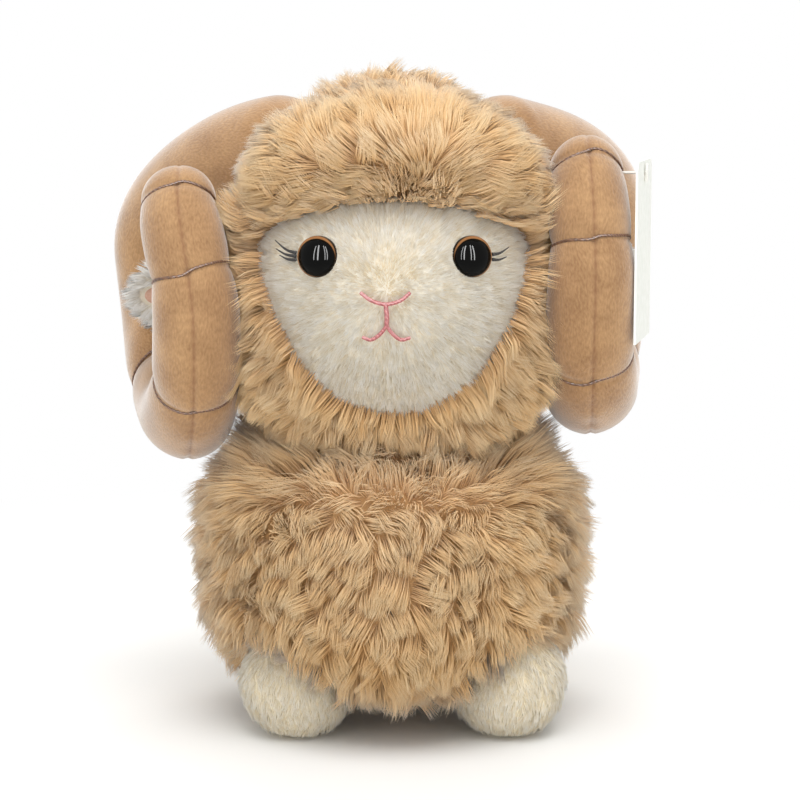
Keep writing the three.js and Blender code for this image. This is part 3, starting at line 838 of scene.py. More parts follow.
    def grow(
        self,
        backing: Surface,
        flow: AtPoints,
        keep: AtPoints,
        length: AtPoints | None = None,
        blocked: AtPoints | None = None,
        stain: AtPoints | None = None,
        cleared: AtPoints | None = None,
        facing: AtPoints | None = None,
    ) -> None:
        """Plants the pile on a backing and places it in pieces small enough to keep.

        Args:
            backing: skin that carries the pile.
            flow: wanted directions for root points.
            keep: True for the roots that carry a hair.
            length: share of the full length for root points.
            blocked: True for points that no hair may enter.
            stain: how much darker the hairs are at root points.
            cleared: moves points of hairs out of what they lie against.
            facing: where the roll that the hairs form faces, added to the backing's normals for the light.
        """
        rng = np.random.default_rng(self.seed + 2)
        roots, normals = backing.scatter(self.cut.density, rng)
        kept = keep(roots)
        roots, normals = roots[kept], normals[kept]
        shares = np.ones(len(roots)) if length is None else length(roots)
        lines, tone = self.comb(roots, normals, along_surface(flow(roots), normals), shares)
        tone = tone if stain is None else np.clip(tone - stain(roots), 0, 1)
        normals = normals if facing is None else unit(normals + facing(roots))
        if cleared is not None:
            lines = cleared(lines.reshape(-1, 3)).reshape(lines.shape)
        if blocked is not None:
            free = ~blocked(lines.reshape(-1, 3)).reshape(lines.shape[:2]).any(axis=1)
            lines, tone, normals = lines[free], tone[free], normals[free]
        # The pieces are sectors round the middle of the pile.
        order = np.argsort(np.arctan2(*(lines[:, 0, :2] - lines[:, 0, :2].mean(0)).T))
        per_hair = 6 * (lines.shape[1] - 2) + 4
        parts = np.array_split(order, int(np.ceil(len(order) * per_hair / PIECE_TRIANGLES)))
        for number, part in enumerate(parts, 1):
            surface, hair_map, shading = self.skin_hairs(lines[part], tone[part], normals[part])
            name, maps = f"{self.name}_{number}", {PILE_MAP: hair_map}
            place(name, surface, self.finish, self.body, self.slot, maps=maps, shading=shading)


@dataclass
class Horn:
    """A tapered tube that curls back, down, forward and up beside the cheek; sizes as in the solids, mm."""

    side: Side
    head: Array
    head_half: Point
    root_turn: float = 25.0  # degrees of the root behind the head's side
    root_rise: float = 39.0  # degrees of the root above the head's middle
    root_sink: float = 4.0  # start of the middle line under the head's skin
    root_radius: float = 24.5
    tip_radius: float = 15.5
    sweep: float = 302.0  # degrees of the curl in the side view
    curl_radius: float = 51.5
    curl_behind: float = 10.0  # middle of the curl behind the head's
    curl_below: float = 6.0  # and below it
    back_reach: float = 26.0  # middle line outside the head's side, behind
    front_reach: float = 10.5  # and in front
    tip_flare: float = 3.0  # how far the tip turns out again
    back_share: float = 0.22  # share of the sweep at which the horn is furthest out
    front_share: float = 0.82  # and at which it is back at the cheek
    sewn_high: float = 5.0  # how much higher the left horn is sewn on, and the right one lower
    sewn_in: float = 4.0  # how much closer the left one lies, and the right one further out
    ring_count: int = 4
    ring_from_tip: float = 2.0
    ring_spacing: float = 29.0  # between the two rings next to the tip
    ring_growth: float = 1.62  # each spacing over the one before it
    ring_dip: float = 0.06  # share of the radius by which a ring draws the horn in
    ring_reach: float = 6.0  # how far along the horn it does
    unevenness: float = 0.5  # most by which the filling lifts the skin
    sides: int = 128
    steps: int = 300
    cap_steps: int = 15
    stitch: float = 2.4  # length of a ring's stitches

    def __post_init__(self) -> None:
        """Works out the middle line, evenly stepped, with its radius, its directions and the rings."""
        turn, rise = np.radians([self.root_turn, self.root_rise])
        aim = np.array([np.cos(rise) * np.cos(turn), np.cos(rise) * np.sin(turn), np.sin(rise)])
        root = self.head + aim * (1 / np.linalg.norm(aim / self.head_half) - self.root_sink)
        self.curl = self.head + (0.0, self.curl_behind, self.side.value * self.sewn_high - self.curl_below)
        dense = self._line(np.linspace(0, 1, 801), root)
        run = np.append(0, np.cumsum(np.linalg.norm(np.diff(dense, axis=0), axis=1)))
        self.length = run[-1]
        self.run = np.linspace(0, self.length, self.steps)
        self.middle = np.stack([np.interp(self.run, run, dense[:, k]) for k in range(3)], axis=1)
        powers = self.ring_growth ** np.arange(self.ring_count - 1, -1, -1)
        from_first = self.ring_spacing * (powers - 1) / (self.ring_growth - 1)
        self.rings = self.length - self.ring_from_tip - from_first
        self.way = unit(np.gradient(self.middle, axis=0))
        self.out = along_surface(np.tile([self.side.value, 0.0, 0.0], (self.steps, 1)), self.way)
        self.across = np.cross(self.way, self.out)
        self.radius = self._radius(self.run)
        self.angle = round_angles(self.sides)
        self.bend = np.linspace(0, np.pi / 2, self.cap_steps + 1)[1:-1]

    def _line(self, share: Array, root: Array) -> Array:
        """Middle line at shares of the sweep: a circle in the side view, eased out and in sideways.

        Args:
            share: shares from root to tip.
            root: root of the left horn.

        Returns:
            The points.
        """
        sewn_in = self.side.value * self.sewn_in
        back = self.head_half[0] + self.back_reach - sewn_in
        front = self.head_half[0] + self.front_reach
        x = root[0] + (back - root[0]) * np.sin(np.pi / 2 * np.minimum(1, share / self.back_share))
        x += (front - back) * ease(share, self.back_share, self.front_share)
        x += (self.tip_flare - sewn_in) * ease(share, self.front_share, 1)
        height, depth = root[2] - self.curl[2], root[1] - self.curl[1]
        start = np.hypot(height, depth)
        radius = start + (self.curl_radius - start) * ease(share, 0, self.back_share)
        angle = np.arctan2(height, depth) - np.radians(self.sweep) * share
        y, z = self.curl[1] + radius * np.cos(angle), self.curl[2] + radius * np.sin(angle)
        return np.stack([self.side.value * x, y, z], axis=1)

    def _radius(self, run: Array) -> Array:
        """Radius along the horn: a straight taper, drawn in at each ring along a bell.

        Args:
            run: distances from the root.

        Returns:
            The radius at each of them.
        """
        taper = self.root_radius + (self.tip_radius - self.root_radius) * run / self.length
        drawn = bell(run[:, None] - self.rings, self.ring_reach).sum(axis=1)
        return taper * (1 - self.ring_dip * drawn)

    def balls(self, grow: float) -> list[Oval]:
        """The horn as a row of balls, larger than it by grow."""
        return [Oval.ball(self.middle[k], self.radius[k] + grow) for k in range(0, self.steps, 5)]

    def holds(self, points: Array, grow: float) -> Array:
        """True for points inside the horn or within grow of it."""
        number = nearest(points, self.middle)
        return np.linalg.norm(points - self.middle[number], axis=1) < self.radius[number] + grow

    def cleared(self, points: Array, grow: float) -> Array:
        """Moves points inside the horn straight out to its skin, and grow beyond.

        Args:
            points: places in and round the horn.
            grow: distance to keep from the skin.

        Returns:
            The points, those outside unmoved.
        """
        number = nearest(points, self.middle)
        away = points - self.middle[number]
        least = self.radius[number][:, None] + grow
        far = np.linalg.norm(away, axis=1, keepdims=True)
        return self.middle[number] + away * np.maximum(1, least / far)

    def at_run(self, values: Array, run: Array) -> Array:
        """Reads vectors of the middle line off at distances from the root."""
        return np.stack([np.interp(run, self.run, values[:, k]) for k in range(3)], axis=-1)

    def seam_angle(self) -> Array:
        """Angle of the lengthwise seam at each step: the side that looks away from the curl's middle."""
        away = along_surface((self.middle - self.curl) * (0.0, 1.0, 1.0), self.way)
        return np.arctan2((away * self.across).sum(1), (away * self.out).sum(1))

    def from_seam(self) -> tuple[Array, Array]:
        """Where the skin lies from the lengthwise seams, one outside the curl and one inside.

        Returns:
            Angle from the outer seam and mm from the nearer one, as step along the horn, place round it.
        """
        apart = np.abs(np.angle(np.exp(1j * (self.angle - self.seam_angle()[:, None]))))
        return apart, np.minimum(apart, np.pi - apart) * self.radius[:, None]

    def soft(self, run: Array, angle: Array) -> Array:
        """Lift by the filling: a wave along and round the horn times a slower one."""
        return self.unevenness * np.sin(run / 13 + 2 * angle) * np.sin(run / 29 - angle + 1)

    def relief(self) -> Array:
        """What sewing and filling do to the skin: furrows, puckers beside the seams, folds inside the curl.

        Returns:
            Lift in mm as step along the horn, place round it.
        """
        apart, arc = self.from_seam()
        run = self.run[:, None]
        furrows = 0.6 * bell(run - self.rings, 1.3).sum(axis=1)[:, None] + 0.8 * bell(arc, 1.2)
        pucker = 0.25 * np.sin(run / 1.9 + 2 * np.sin(run / 23)) * bell(arc, 4)
        folds = 0.9 * np.sin(run / 4.6 + 1.5 * np.sin(run / 31 + self.angle)) * ease(apart, 1.7, 3.0)
        return pucker + folds + self.soft(run, self.angle) - furrows

    def cover(self) -> Surface:
        """The sewn and filled cover: rings of the tube with a rounded cap at each end.

        Returns:
            The skin.
        """
        lift = self.relief()
        cos, sin = np.cos(self.angle)[:, None], np.sin(self.angle)[:, None]
        aim = self.out[:, None] * cos + self.across[:, None] * sin
        tube = self.middle[:, None] + aim * (self.radius[:, None] + lift)[..., None]
        narrow, far = np.cos(self.bend)[:, None], np.sin(self.bend)[:, None]
        root = self.middle[0] - self.way[0] * self.radius[0] * far
        tip = self.middle[-1] + self.way[-1] * self.radius[-1] * far
        root_cap = root[:, None] + aim[0] * self.radius[0] * narrow[..., None]
        tip_cap = tip[:, None] + aim[-1] * ((self.radius[-1] + lift[-1]) * narrow)[..., None]
        root_end = self.middle[0] - self.way[0] * self.radius[0]
        tip_end = self.middle[-1] + self.way[-1] * self.radius[-1]
        return skin(np.concatenate([root_cap[::-1], tube, tip_cap]), ends=(root_end, tip_end))

    def maps(self) -> dict[str, Array]:
        """Maps of the cover's points: how deep each lies in a sewn crease, which sets the seam's painted
        shade, and the nap's lay in metres.

        Returns:
            Map name to one (u, v) per point.
        """
        stitched = 0.75 + 0.25 * np.sin(2 * np.pi * self.run / 3.7)[:, None]
        tube = 0.9 * stitched * bell(self.from_seam()[1], 0.75)
        fade = np.cos(self.bend)[:, None]
        crease = np.concatenate([tube[0] * fade[::-1], tube, tube[-1] * fade]).ravel()
        crease = np.append(crease, [0.0, 0.0])
        root, tip = self.radius[0], self.radius[-1]
        cap = np.ones(len(self.bend))
        radius = np.concatenate([root * cap, self.radius, tip * cap])[:, None]
        run = np.concatenate([-root * self.bend[::-1], self.run, self.length + tip * self.bend])[:, None]
        around = radius * np.abs(np.angle(np.exp(1j * self.angle)))
        # The nap lies along the horn, so its grain is drawn out that way.
        lay = np.stack([around, 0.5 * run * np.ones_like(self.angle)], axis=-1)
        lay = np.vstack([lay.reshape(-1, 2), lay[0, 0], lay[-1, 0]]) * MM
        return {TAN_NAP.crease: np.stack([crease, np.zeros_like(crease)], axis=1), TAN_NAP.lay: lay}

    def ring_thread(self, ring: float) -> Surface:
        """One stitched ring: a thread round the horn whose halves miss each other a little at the seam.

        Args:
            ring: distance of the ring from the root.

        Returns:
            The thread's skin, with a bead for every stitch.
        """
        angle = round_angles(260)
        seam = np.interp(ring, self.run, np.unwrap(self.seam_angle()))
        run = ring + 0.9 * np.tanh(6 * np.sin(angle - seam)) + 0.5 * np.sin(3 * angle + ring)
        middle = self.at_run(self.middle, run)
        cos, sin = np.cos(angle)[:, None], np.sin(angle)[:, None]
        aim = self.at_run(self.out, run) * cos + self.at_run(self.across, run) * sin
        sunk = self.soft(run, angle) - 0.3
        path = middle + aim * (np.interp(run, self.run, self.radius) + sunk)[:, None]
        stitches = np.round(2 * np.pi * np.interp(ring, self.run, self.radius) / self.stitch)
        bead = 0.62 * (0.75 + 0.25 * np.abs(np.sin(angle * stitches / 2)))
        return thread(path, bead, path - middle, flatness=0.8, sides=8, closed=True)

    def build(self) -> None:
        """Places the cover and its rings."""
        word = self.side.word
        body = f"horn_{word}"
        nodes = (f"horn_cover_{word}", f"horn_stuffing_{word}")
        place(f"{body}_cover", self.cover(), TAN_NAP, body, "horn_nap", nodes, fill=0.85, maps=self.maps())
        for number, ring in enumerate(self.rings, 1):
            place(f"{body}_ring_{number}", self.ring_thread(ring), RING_THREAD, body, "horn_nap")


@dataclass
class Face:
    """The domed short-pile panel with its eyes, lashes, nose and mouth; mm."""

    eye_line: float = 195.0
    half_width: float = 50.7
    above: float = 20.7  # height of the panel over the eye line
    below: float = 64.7
    thickness: float = 3.5
    front_depth: float = 2.6  # what counts as the panel's front, under the dome
    tuck: float = 2.2  # how far the panel's edge is drawn in at the seam
    seam: tuple[float, float] = (0.92, 0.985)  # share left free by the long pile, at chin and eyes
    seam_levels: tuple[float, float] = (160.0, 195.0)  # heights between which it changes
    dome: Oval = Oval((0.0, -18.0, 179.0), (61.0, 56.0, 58.0))
    eye_radius: float = 8.0
    eye_dome: float = 6.0
    eye_apart: float = 58.0
    eye_toe: float = 20.0  # degrees that the eyes look out
    eye_lift: float = 8.0  # and up
    post_radius: float = 2.5
    post_length: float = 14.0
    nose: tuple[float, float] = (-3.0, 183.0)
    stitch_lift: float = 1.9  # stitching above the panel, on its pressed pile
    pile: PileCut = PileCut(5.0, 0.32, 3.8, 22, 6, lock=2.4, gather=0.22, stray=8, stations=STRAIGHT)

    def front(self, x: Array, z: Array) -> Array:
        """Depth of the dome's front under points of the front view: y of the ellipsoid.

        Args:
            x: places across.
            z: heights.

        Returns:
            The depths.
        """
        middle, half = self.dome.middle, self.dome.half
        inside = 1 - ((x - middle[0]) / half[0]) ** 2 - ((z - middle[2]) / half[2]) ** 2
        return middle[1] - half[1] * np.sqrt(np.maximum(inside, 0.02))

    def on_front(self, points: Array) -> Array:
        """True for points of the panel's front, not those of its back."""
        return points[:, 1] < self.front(points[:, 0], points[:, 2]) + self.front_depth

    def share(self, points: Array) -> Array:
        """How far out in the panel's outline points lie: 0 at the eye line's middle, 1 at the seam.

        Args:
            points: places anywhere, seen from the front.

        Returns:
            The shares.
        """
        height = points[..., 2] - self.eye_line
        tall = np.where(height > 0, self.above, self.below)
        return np.hypot(points[..., 0] / self.half_width, height / tall)

    def free_share(self, points: Array) -> Array:
        """Share of the outline that the ring of long pile leaves free, eased from chin to eyes."""
        chin, eyes = self.seam
        return chin + (eyes - chin) * ease(points[..., 2], *self.seam_levels)

    def panel(self) -> Surface:
        """A lens: the dome's front inside the outline, tucked in at the seam, and the same again behind.

        Returns:
            The skin.
        """
        outwards, inwards = np.linspace(0.02, 1, 44), np.linspace(1, 0.02, 12)
        share = np.concatenate([outwards, inwards])[:, None]
        turn = round_angles(144)[None]
        tall = np.where(np.sin(turn) > 0, self.above, self.below)
        x, z = share * self.half_width * np.cos(turn), self.eye_line + share * tall * np.sin(turn)
        behind = (np.arange(len(share)) >= len(outwards))[:, None] * self.thickness
        y = self.front(x, z) + self.tuck * ease(share, 0.9, 1.0) + behind
        return skin(np.stack([x, y, z], axis=-1))

    def eye_axis(self, side: Side) -> tuple[Array, Array]:
        """Seat and axis of an eye: on the dome, turned out and up.

        Args:
            side: the toy's side.

        Returns:
            The seat's middle and the direction in which the eye looks.
        """
        toe, lift = np.radians([self.eye_toe, self.eye_lift])
        x = side.value * self.eye_apart / 2
        seat = np.array([x, float(self.front(x, self.eye_line)), self.eye_line])
        axis = (side.value * np.sin(toe) * np.cos(lift), -np.cos(toe) * np.cos(lift), np.sin(lift))
        return seat, np.array(axis)

    def eye(self, side: Side) -> None:
        """Places a safety eye: post, flange and polished dome, turned round the eye's axis.

        Args:
            side: the toy's side.
        """
        seat, axis = self.eye_axis(side)
        radius, height, post = self.eye_radius, self.eye_dome, self.post_radius
        bend = np.linspace(0, np.pi / 2, 22)[:-1]
        profile = [(0.4, -self.post_length), (post, -self.post_length), (post, -1.2)]
        profile += [(radius - 0.4, -1.0), (radius, -0.6)]
        profile += [*zip(radius * np.cos(bend), height * np.sin(bend)), (0.05, height)]
        surface = turned(profile, seat, axis)
        nosewards = unit(np.cross(axis, UP))
        nosewards *= -side.value * np.sign(nosewards[0])
        upwards = np.cross(nosewards, axis)
        upwards *= np.sign(upwards[2])
        eye_map = (surface.points - seat) @ np.stack([nosewards, upwards], axis=1) / radius
        name = f"eye_{side.word}"
        place(f"{name}_dome", surface, EYE, "head", "eye", (name,), maps={EYE.map_name: eye_map})

    def on_dome(self, places: Sequence[tuple[float, float]], count: int, lift: float) -> tuple[Array, Array]:
        """A smooth line over the dome through places of the front view.

        Args:
            places: x and z of points on the line.
            count: samples.
            lift: mm off the panel.

        Returns:
            The points and the dome's normals there.
        """
        x, z = curve_through(places, count).T
        points = np.stack([x, self.front(x, z), z], axis=1)
        normals = unit((points - self.dome.middle) / np.array(self.dome.half) ** 2)
        return points + normals * lift, normals

    def stitches(self) -> dict[str, tuple[ThreadFinish, float, list[tuple[float, float]]]]:
        """Every stitched line: finish, half width and places of the front view.

        Returns:
            Piece name to those three.
        """
        nose = [(-12.7, 182.3), (-8.6, 179.4), (-3.4, 178.1), (1.9, 179.4), (5.6, 182.4)]
        stem = [(-3.4, 178.2), (-3.0, 173.8), (-3.1, 169.6)]
        mouth_right = [(-3.1, 170.0), (-5.6, 166.9), (-8.8, 164.9), (-12.0, 165.9)]
        mouth_left = [(-3.0, 170.0), (-0.7, 167.0), (2.2, 165.0), (5.7, 165.7)]
        lashes = {
            "lash_right_1": [(-36.2, 195.6), (-40.0, 196.6), (-44.2, 199.6)],
            "lash_right_2": [(-36.2, 194.4), (-40.2, 194.9), (-43.8, 196.6)],
            "lash_right_3": [(-36.2, 193.2), (-39.4, 193.2), (-42.4, 194.4)],
            "lash_left_1": [(36.0, 195.0), (39.0, 195.4), (42.4, 197.2)],
            "lash_left_2": [(36.0, 193.2), (38.6, 193.0), (41.4, 193.8)],
        }
        made = {
            "nose_line": (NOSE_THREAD, 0.78, nose),
            "nose_stem": (NOSE_THREAD, 0.95, stem),
            "mouth_right": (NOSE_THREAD, 0.78, mouth_right),
            "mouth_left": (NOSE_THREAD, 0.78, mouth_left),
        }
        return made | {name: (LASH_THREAD, 0.7, line) for name, line in lashes.items()}

    def embroider(self) -> None:
        """Places the nose, mouth and lashes: nose lines keep their width, lashes run to a point."""
        t = np.linspace(0, 1, 64)
        pointed = 1.05 - 0.8 * t
        beads = 0.86 + 0.14 * np.abs(np.sin(t * np.pi * 14))
        even = beads * (0.8 + 0.2 * np.sin(np.pi * t) ** 0.3)
        for name, (finish, half, line) in self.stitches().items():
            points, normals = self.on_dome(line, len(t), self.stitch_lift)
            width = half * (pointed if finish is LASH_THREAD else even)
            place(name, thread(points, width, normals, flatness=0.75), finish, "head", "short_pile")

    def build(self) -> None:
        """Places the panel, its pile, the eyes and the embroidery."""
        panel = self.panel()
        place("face_panel_shell", panel, CREAM_NAP, "head", "short_pile", ("face_panel",), fill=0.7)
        seats = [self.eye_axis(side)[0] for side in Side]
        lines = [line for _, _, line in self.stitches().values()]
        stitched = np.concatenate([self.on_dome(line, 40, 0.0)[0] for line in lines])

        def from_eye(roots: Array) -> Array:
            """Distance from the nearer eye."""
            return np.min([np.linalg.norm(roots - seat, axis=1) for seat in seats], axis=0)

        def keep(roots: Array) -> Array:
            """Hairs stand on the front, clear of the long pile, the eyes and the stitching.

            Args:
                roots: points on the panel.

            Returns:
                True for each that carries a hair.
            """
            free = self.on_front(roots) & (self.share(roots) < self.free_share(roots) + 0.02)
            from_thread = np.linalg.norm(roots - stitched[nearest(roots, stitched)], axis=1)
            return free & (from_eye(roots) > self.eye_radius + 0.4) & (from_thread > 1.0)

        def length(roots: Array) -> Array:
            """Hairs are short at the nose and the eyes and full towards the seam."""
            from_nose = np.hypot(roots[:, 0] - self.nose[0], roots[:, 2] - self.nose[1])
            return (0.4 + 0.6 * ease(from_nose, 4, 40)) * (0.5 + 0.5 * ease(from_eye(roots), 8, 15))

        def flow(roots: Array) -> Array:
            """Hairs lie away from the nose."""
            return (roots - (self.nose[0], 0.0, self.nose[1])) * (1.0, 0.0, 1.0)

        def stain(roots: Array) -> Array:
            """Hairs are yellower over the bridge of the nose, and paler elsewhere."""
            aside, above = roots[:, 0] - self.nose[0], roots[:, 2] - self.nose[1] - 5
            return 0.75 * bell(aside, 12) * bell(above, 9) - 0.22

        pile = Pile("face_pile", self.pile, CREAM_PILE, "head", "short_pile", seed=31)
        pile.grow(panel, flow, keep, length, stain=stain)
        for side in Side:
            self.eye(side)
        self.embroider()


@dataclass
class Head:
    """The hooded head: a stuffed egg of long pile with the face let in and a padded forelock on top; mm."""

    face: Face
    horns: list[Horn]
    middle: Array
    half: Point
    cheek: float = 2.5  # squareness under the middle
    sink: float = 6.5  # backing under the outside of the pile
    ruff: float = 8.5  # how far it swells round the face
    ruff_share: float = 1.16  # where it does most, in shares of the face's outline
    ruff_width: float = 0.16  # and how widely
    bare_share: float = 1.15  # share inside which the hood's own pile leaves off
    fringe: tuple[float, float] = (0.98, 1.36)  # shares between which the ring of long hairs stands
    neck_hollow: float = 50.0  # radius
    ear_hollow: float = 9.5
    horn_gap: float = 1.5
    forelock_half: Point = (57.0, 31.0, 20.0)
    forelock_place: Point = (0.0, -32.0, 44.5)  # from the head's middle
    forelock_droop: float = 13.0
    parting: tuple[float, float] = (5.0, 215.0)
    chin: tuple[float, float] = (130.0, 160.0)  # heights at which it ends and the cheeks begin
    hood_pile: PileCut = PileCut(
        11.5, 0.38, 0.88, 66, 24, lock=7.0, gather=0.2, stray=30, uneven=0.16, sway=16, blunt=0.8
    )
    fringe_pile: PileCut = PileCut(
        12.5, 0.35, 1.85, 84, 44, lock=7.0, gather=0.25, stray=24, uneven=0.16, blunt=0.7
    )
    lock_pile: PileCut = PileCut(
        12.0, 0.35, 1.95, 64, 20, lock=6.6, gather=0.2, stray=22, uneven=0.16, sway=12, blunt=0.8
    )

    def egg(self, ways: Array, grow: float) -> Array:
        """Reach of the head's egg, grown by some mm."""
        return stuffed(ways, [h + grow for h in self.half], 2.0, self.cheek)

    def reach(self, ways: Array) -> Array:
        """The egg, swollen round the face, drawn in under it and where neck, ears and horns sit.

        Args:
            ways: directions from the head's middle.

        Returns:
            The distance in each of them.
        """
        face, reach = self.face, self.egg(ways, -self.sink)
        ring = face.share(self.middle + ways * reach[..., None])
        swell = self.ruff * ease(-ways[..., 1], 0.05, 0.3)
        reach = reach + swell * bell(ring - self.ruff_share, self.ruff_width)
        seat = Oval(face.dome.middle, tuple(h - face.thickness - 1.5 for h in face.dome.half))
        on_egg = self.middle + ways * reach[..., None]
        behind_face = (face.share(on_egg) < 1.02) & (on_egg[..., 1] < self.middle[1])
        reach = np.where(behind_face, np.minimum(reach, seat.crossings(self.middle, ways)[1]), reach)
        hollows = [Oval.ball(joint_place("neck_turn"), self.neck_hollow)]
        hollows += [Oval.ball(joint_place(f"ear_{side.word}_flap"), self.ear_hollow) for side in Side]
        hollows += [ball for horn in self.horns for ball in horn.balls(self.horn_gap)]
        for hollow in hollows:
            reach = np.minimum(reach, hollow.crossings(self.middle, ways)[0])
        return reach

    def forelock(self) -> Surface:
        """An egg whose ends droop as x^2, with what would lie inside the head brought out to the hood.

        Returns:
            The skin.
        """
        polar = np.linspace(0, np.pi, 62)[1:-1, None]
        turn = round_angles(96)[None]
        wide, deep, tall = self.forelock_half
        x, y = wide * np.sin(polar) * np.cos(turn), deep * np.sin(polar) * np.sin(turn)
        z = tall * np.cos(polar) * np.ones_like(turn) - self.forelock_droop * (x / wide) ** 2
        roll = skin(np.stack([x, y, z], axis=-1) + self.middle + self.forelock_place)
        from_head = roll.points - self.middle
        far = np.linalg.norm(from_head, axis=1, keepdims=True)
        least = self.egg(from_head / far, 0.4 - self.sink)[:, None]
        roll.points = self.middle + from_head * np.maximum(1, least / far)
        return roll

    def standing(self, points: Array, grow: float) -> Array:
        """True for points outside the hood's backing by more than grow."""
        from_head = points - self.middle
        return np.linalg.norm(from_head, axis=-1) > self.egg(unit(from_head), grow - self.sink)

    def in_horn(self, points: Array, grow: float) -> Array:
        """True for points inside a horn or within grow of it."""
        return np.any([horn.holds(points, grow) for horn in self.horns], axis=0)

    def cleared(self, points: Array) -> Array:
        """Lays hairs that meet a horn over its skin.

        Args:
            points: places along hairs.

        Returns:
            The points outside the horns.
        """
        for horn in self.horns:
            points = horn.cleared(points, 0.7)
        return points

    def blocked(self, points: Array) -> Array:
        """True for points inside an eye.

        Args:
            points: places along hairs.

        Returns:
            A yes or no for each.
        """
        inside = np.zeros(len(points), bool)
        for side in Side:
            seat, axis = self.face.eye_axis(side)
            inside |= np.linalg.norm(points - seat - axis, axis=1) < self.face.eye_radius + 0.6
        return inside

    def build_hood(self) -> None:
        """Places the hood's backing and its pile, brushed away from the face and back over the crown."""
        nodes = ("head_hood", "head_stuffing")
        backing = star(self.middle, self.reach)
        place("hood_backing", backing, TAN_BACKING, "head", "long_pile", nodes, fill=0.8)

        def keep(roots: Array) -> Array:
            """Hairs stand outside the face, the neck and the horns.

            Args:
                roots: points on the hood's backing.

            Returns:
                True for each that carries a hair.
            """
            face = (self.face.share(roots) < self.bare_share) & (roots[:, 1] < self.middle[1] - 10)
            neck = np.linalg.norm(roots - joint_place("neck_turn"), axis=1) < self.neck_hollow + 1.5
            return ~(face | neck | self.in_horn(roots, 2.0))

        def flow(roots: Array) -> Array:
            """Away from the face in front, backwards and down behind.

            Args:
                roots: points on the hood's backing.

            Returns:
                The direction at each of them.
            """
            away = (roots - (0.0, 0.0, 190.0)) * (1.0, 0.0, 1.0)
            front = ease(-roots[:, 1], -5, 40)[:, None]
            behind = roots * (0.012, 0.0, 0.0) + (0.0, 0.9, -0.55)
            return front * (unit(away) + (0.0, 0.25, 0.0)) + (1 - front) * behind

        def length(roots: Array) -> Array:
            """A little shorter on the crown, and much so in the groove behind the forelock."""
            crown = 0.8 + 0.2 * ease(-roots[:, 2], -235, -200)
            return crown * (1 - 0.5 * ease(-roots[:, 1], 4, 18) * ease(roots[:, 2], 215, 235))

        pile = Pile("hood_pile", self.hood_pile, TAN_PILE, "head", "long_pile", seed=41)
        pile.grow(backing, flow, keep, length, cleared=self.cleared)
        self.build_fringe(backing)

    def build_fringe(self, backing: Surface) -> None:
        """Plants the long hairs round the face, which lean forward and curl out over the horns.

        Args:
            backing: the hood's backing.
        """

        def on_hood(roots: Array) -> Array:
            """A ring outside the face's seam.

            Args:
                roots: points on the hood's backing.

            Returns:
                True for each that carries a hair.
            """
            share = self.face.share(roots)
            ahead = roots[:, 1] < self.middle[1] - 14
            ring = (share > self.fringe[0]) & (share < self.fringe[1])
            return ring & ahead & ~self.in_horn(roots, 2.0)

        def on_panel(roots: Array) -> Array:
            """The rim of the face's panel, which the ring overlaps.

            Args:
                roots: points on the panel.

            Returns:
                True for each that carries a hair.
            """
            share = self.face.share(roots)
            rim = (share > self.face.free_share(roots)) & (share < 1.0)
            return rim & (roots[:, 2] < self.face.eye_line) & self.face.on_front(roots)

        def flow(roots: Array) -> Array:
            """Away from the face's middle in the front view, and forward beside the horns."""
            away = unit((roots - (0.0, 0.0, self.face.eye_line - 10)) * (1.0, 0.0, 1.0))
            return away - np.array([0.0, 0.8, 0.0]) * ease(roots[:, 2], *self.chin)[:, None]

        def length(roots: Array) -> Array:
            """Longest beside the horns, which it overlaps."""
            return 0.9 + 0.35 * ease(roots[:, 2], *self.chin)

        def facing(_: Array) -> Array:
            """The ring faces forward and a little up."""
            return np.array([0.0, -1.1, 0.5])

        rims = (("fringe_pile", 45, backing, on_hood), ("rim_pile", 47, self.face.panel(), on_panel))
        for name, seed, ground, keep in rims:
            pile = Pile(name, self.fringe_pile, TAN_PILE, "head", "long_pile", seed)
            pile.grow(ground, flow, keep, length, self.blocked, cleared=self.cleared, facing=facing)

    def build_forelock(self) -> None:
        """Places the padded forelock and its long pile, which fans out from the parting."""
        roll = self.forelock()
        place("forelock_backing", roll, TAN_BACKING, "head", "long_pile", ("forelock",), fill=0.75)

        def keep(roots: Array) -> Array:
            """Hairs stand where the roll leaves the hood."""
            return self.standing(roots, 3.2) & ~self.in_horn(roots, 1.0)

        def flow(roots: Array) -> Array:
            """Away from the parting's middle in the front view, a little faster up and down."""
            return (roots - (self.parting[0], 0.0, self.parting[1])) * (1.0, 0.0, 1.25) + (0.0, 2.0, 0.0)

        def length(roots: Array) -> Array:
            """Short along the lower edge over the face and at the ends over the horns."""
            edge = roots[:, 2] + self.forelock_droop * (roots[:, 0] / self.forelock_half[0]) ** 2
            return (0.25 + 0.75 * ease(edge, 211, 224)) * (1 - 0.35 * ease(np.abs(roots[:, 0]), 40, 56))

        pile = Pile("forelock_pile", self.lock_pile, TAN_PILE, "head", "long_pile", seed=51)
        pile.grow(roll, flow, keep, length, self.blocked, cleared=self.cleared)

    def build(self) -> None:
        """Places the hood, the forelock and the face."""
        self.build_hood()
        self.build_forelock()
        self.face.build()


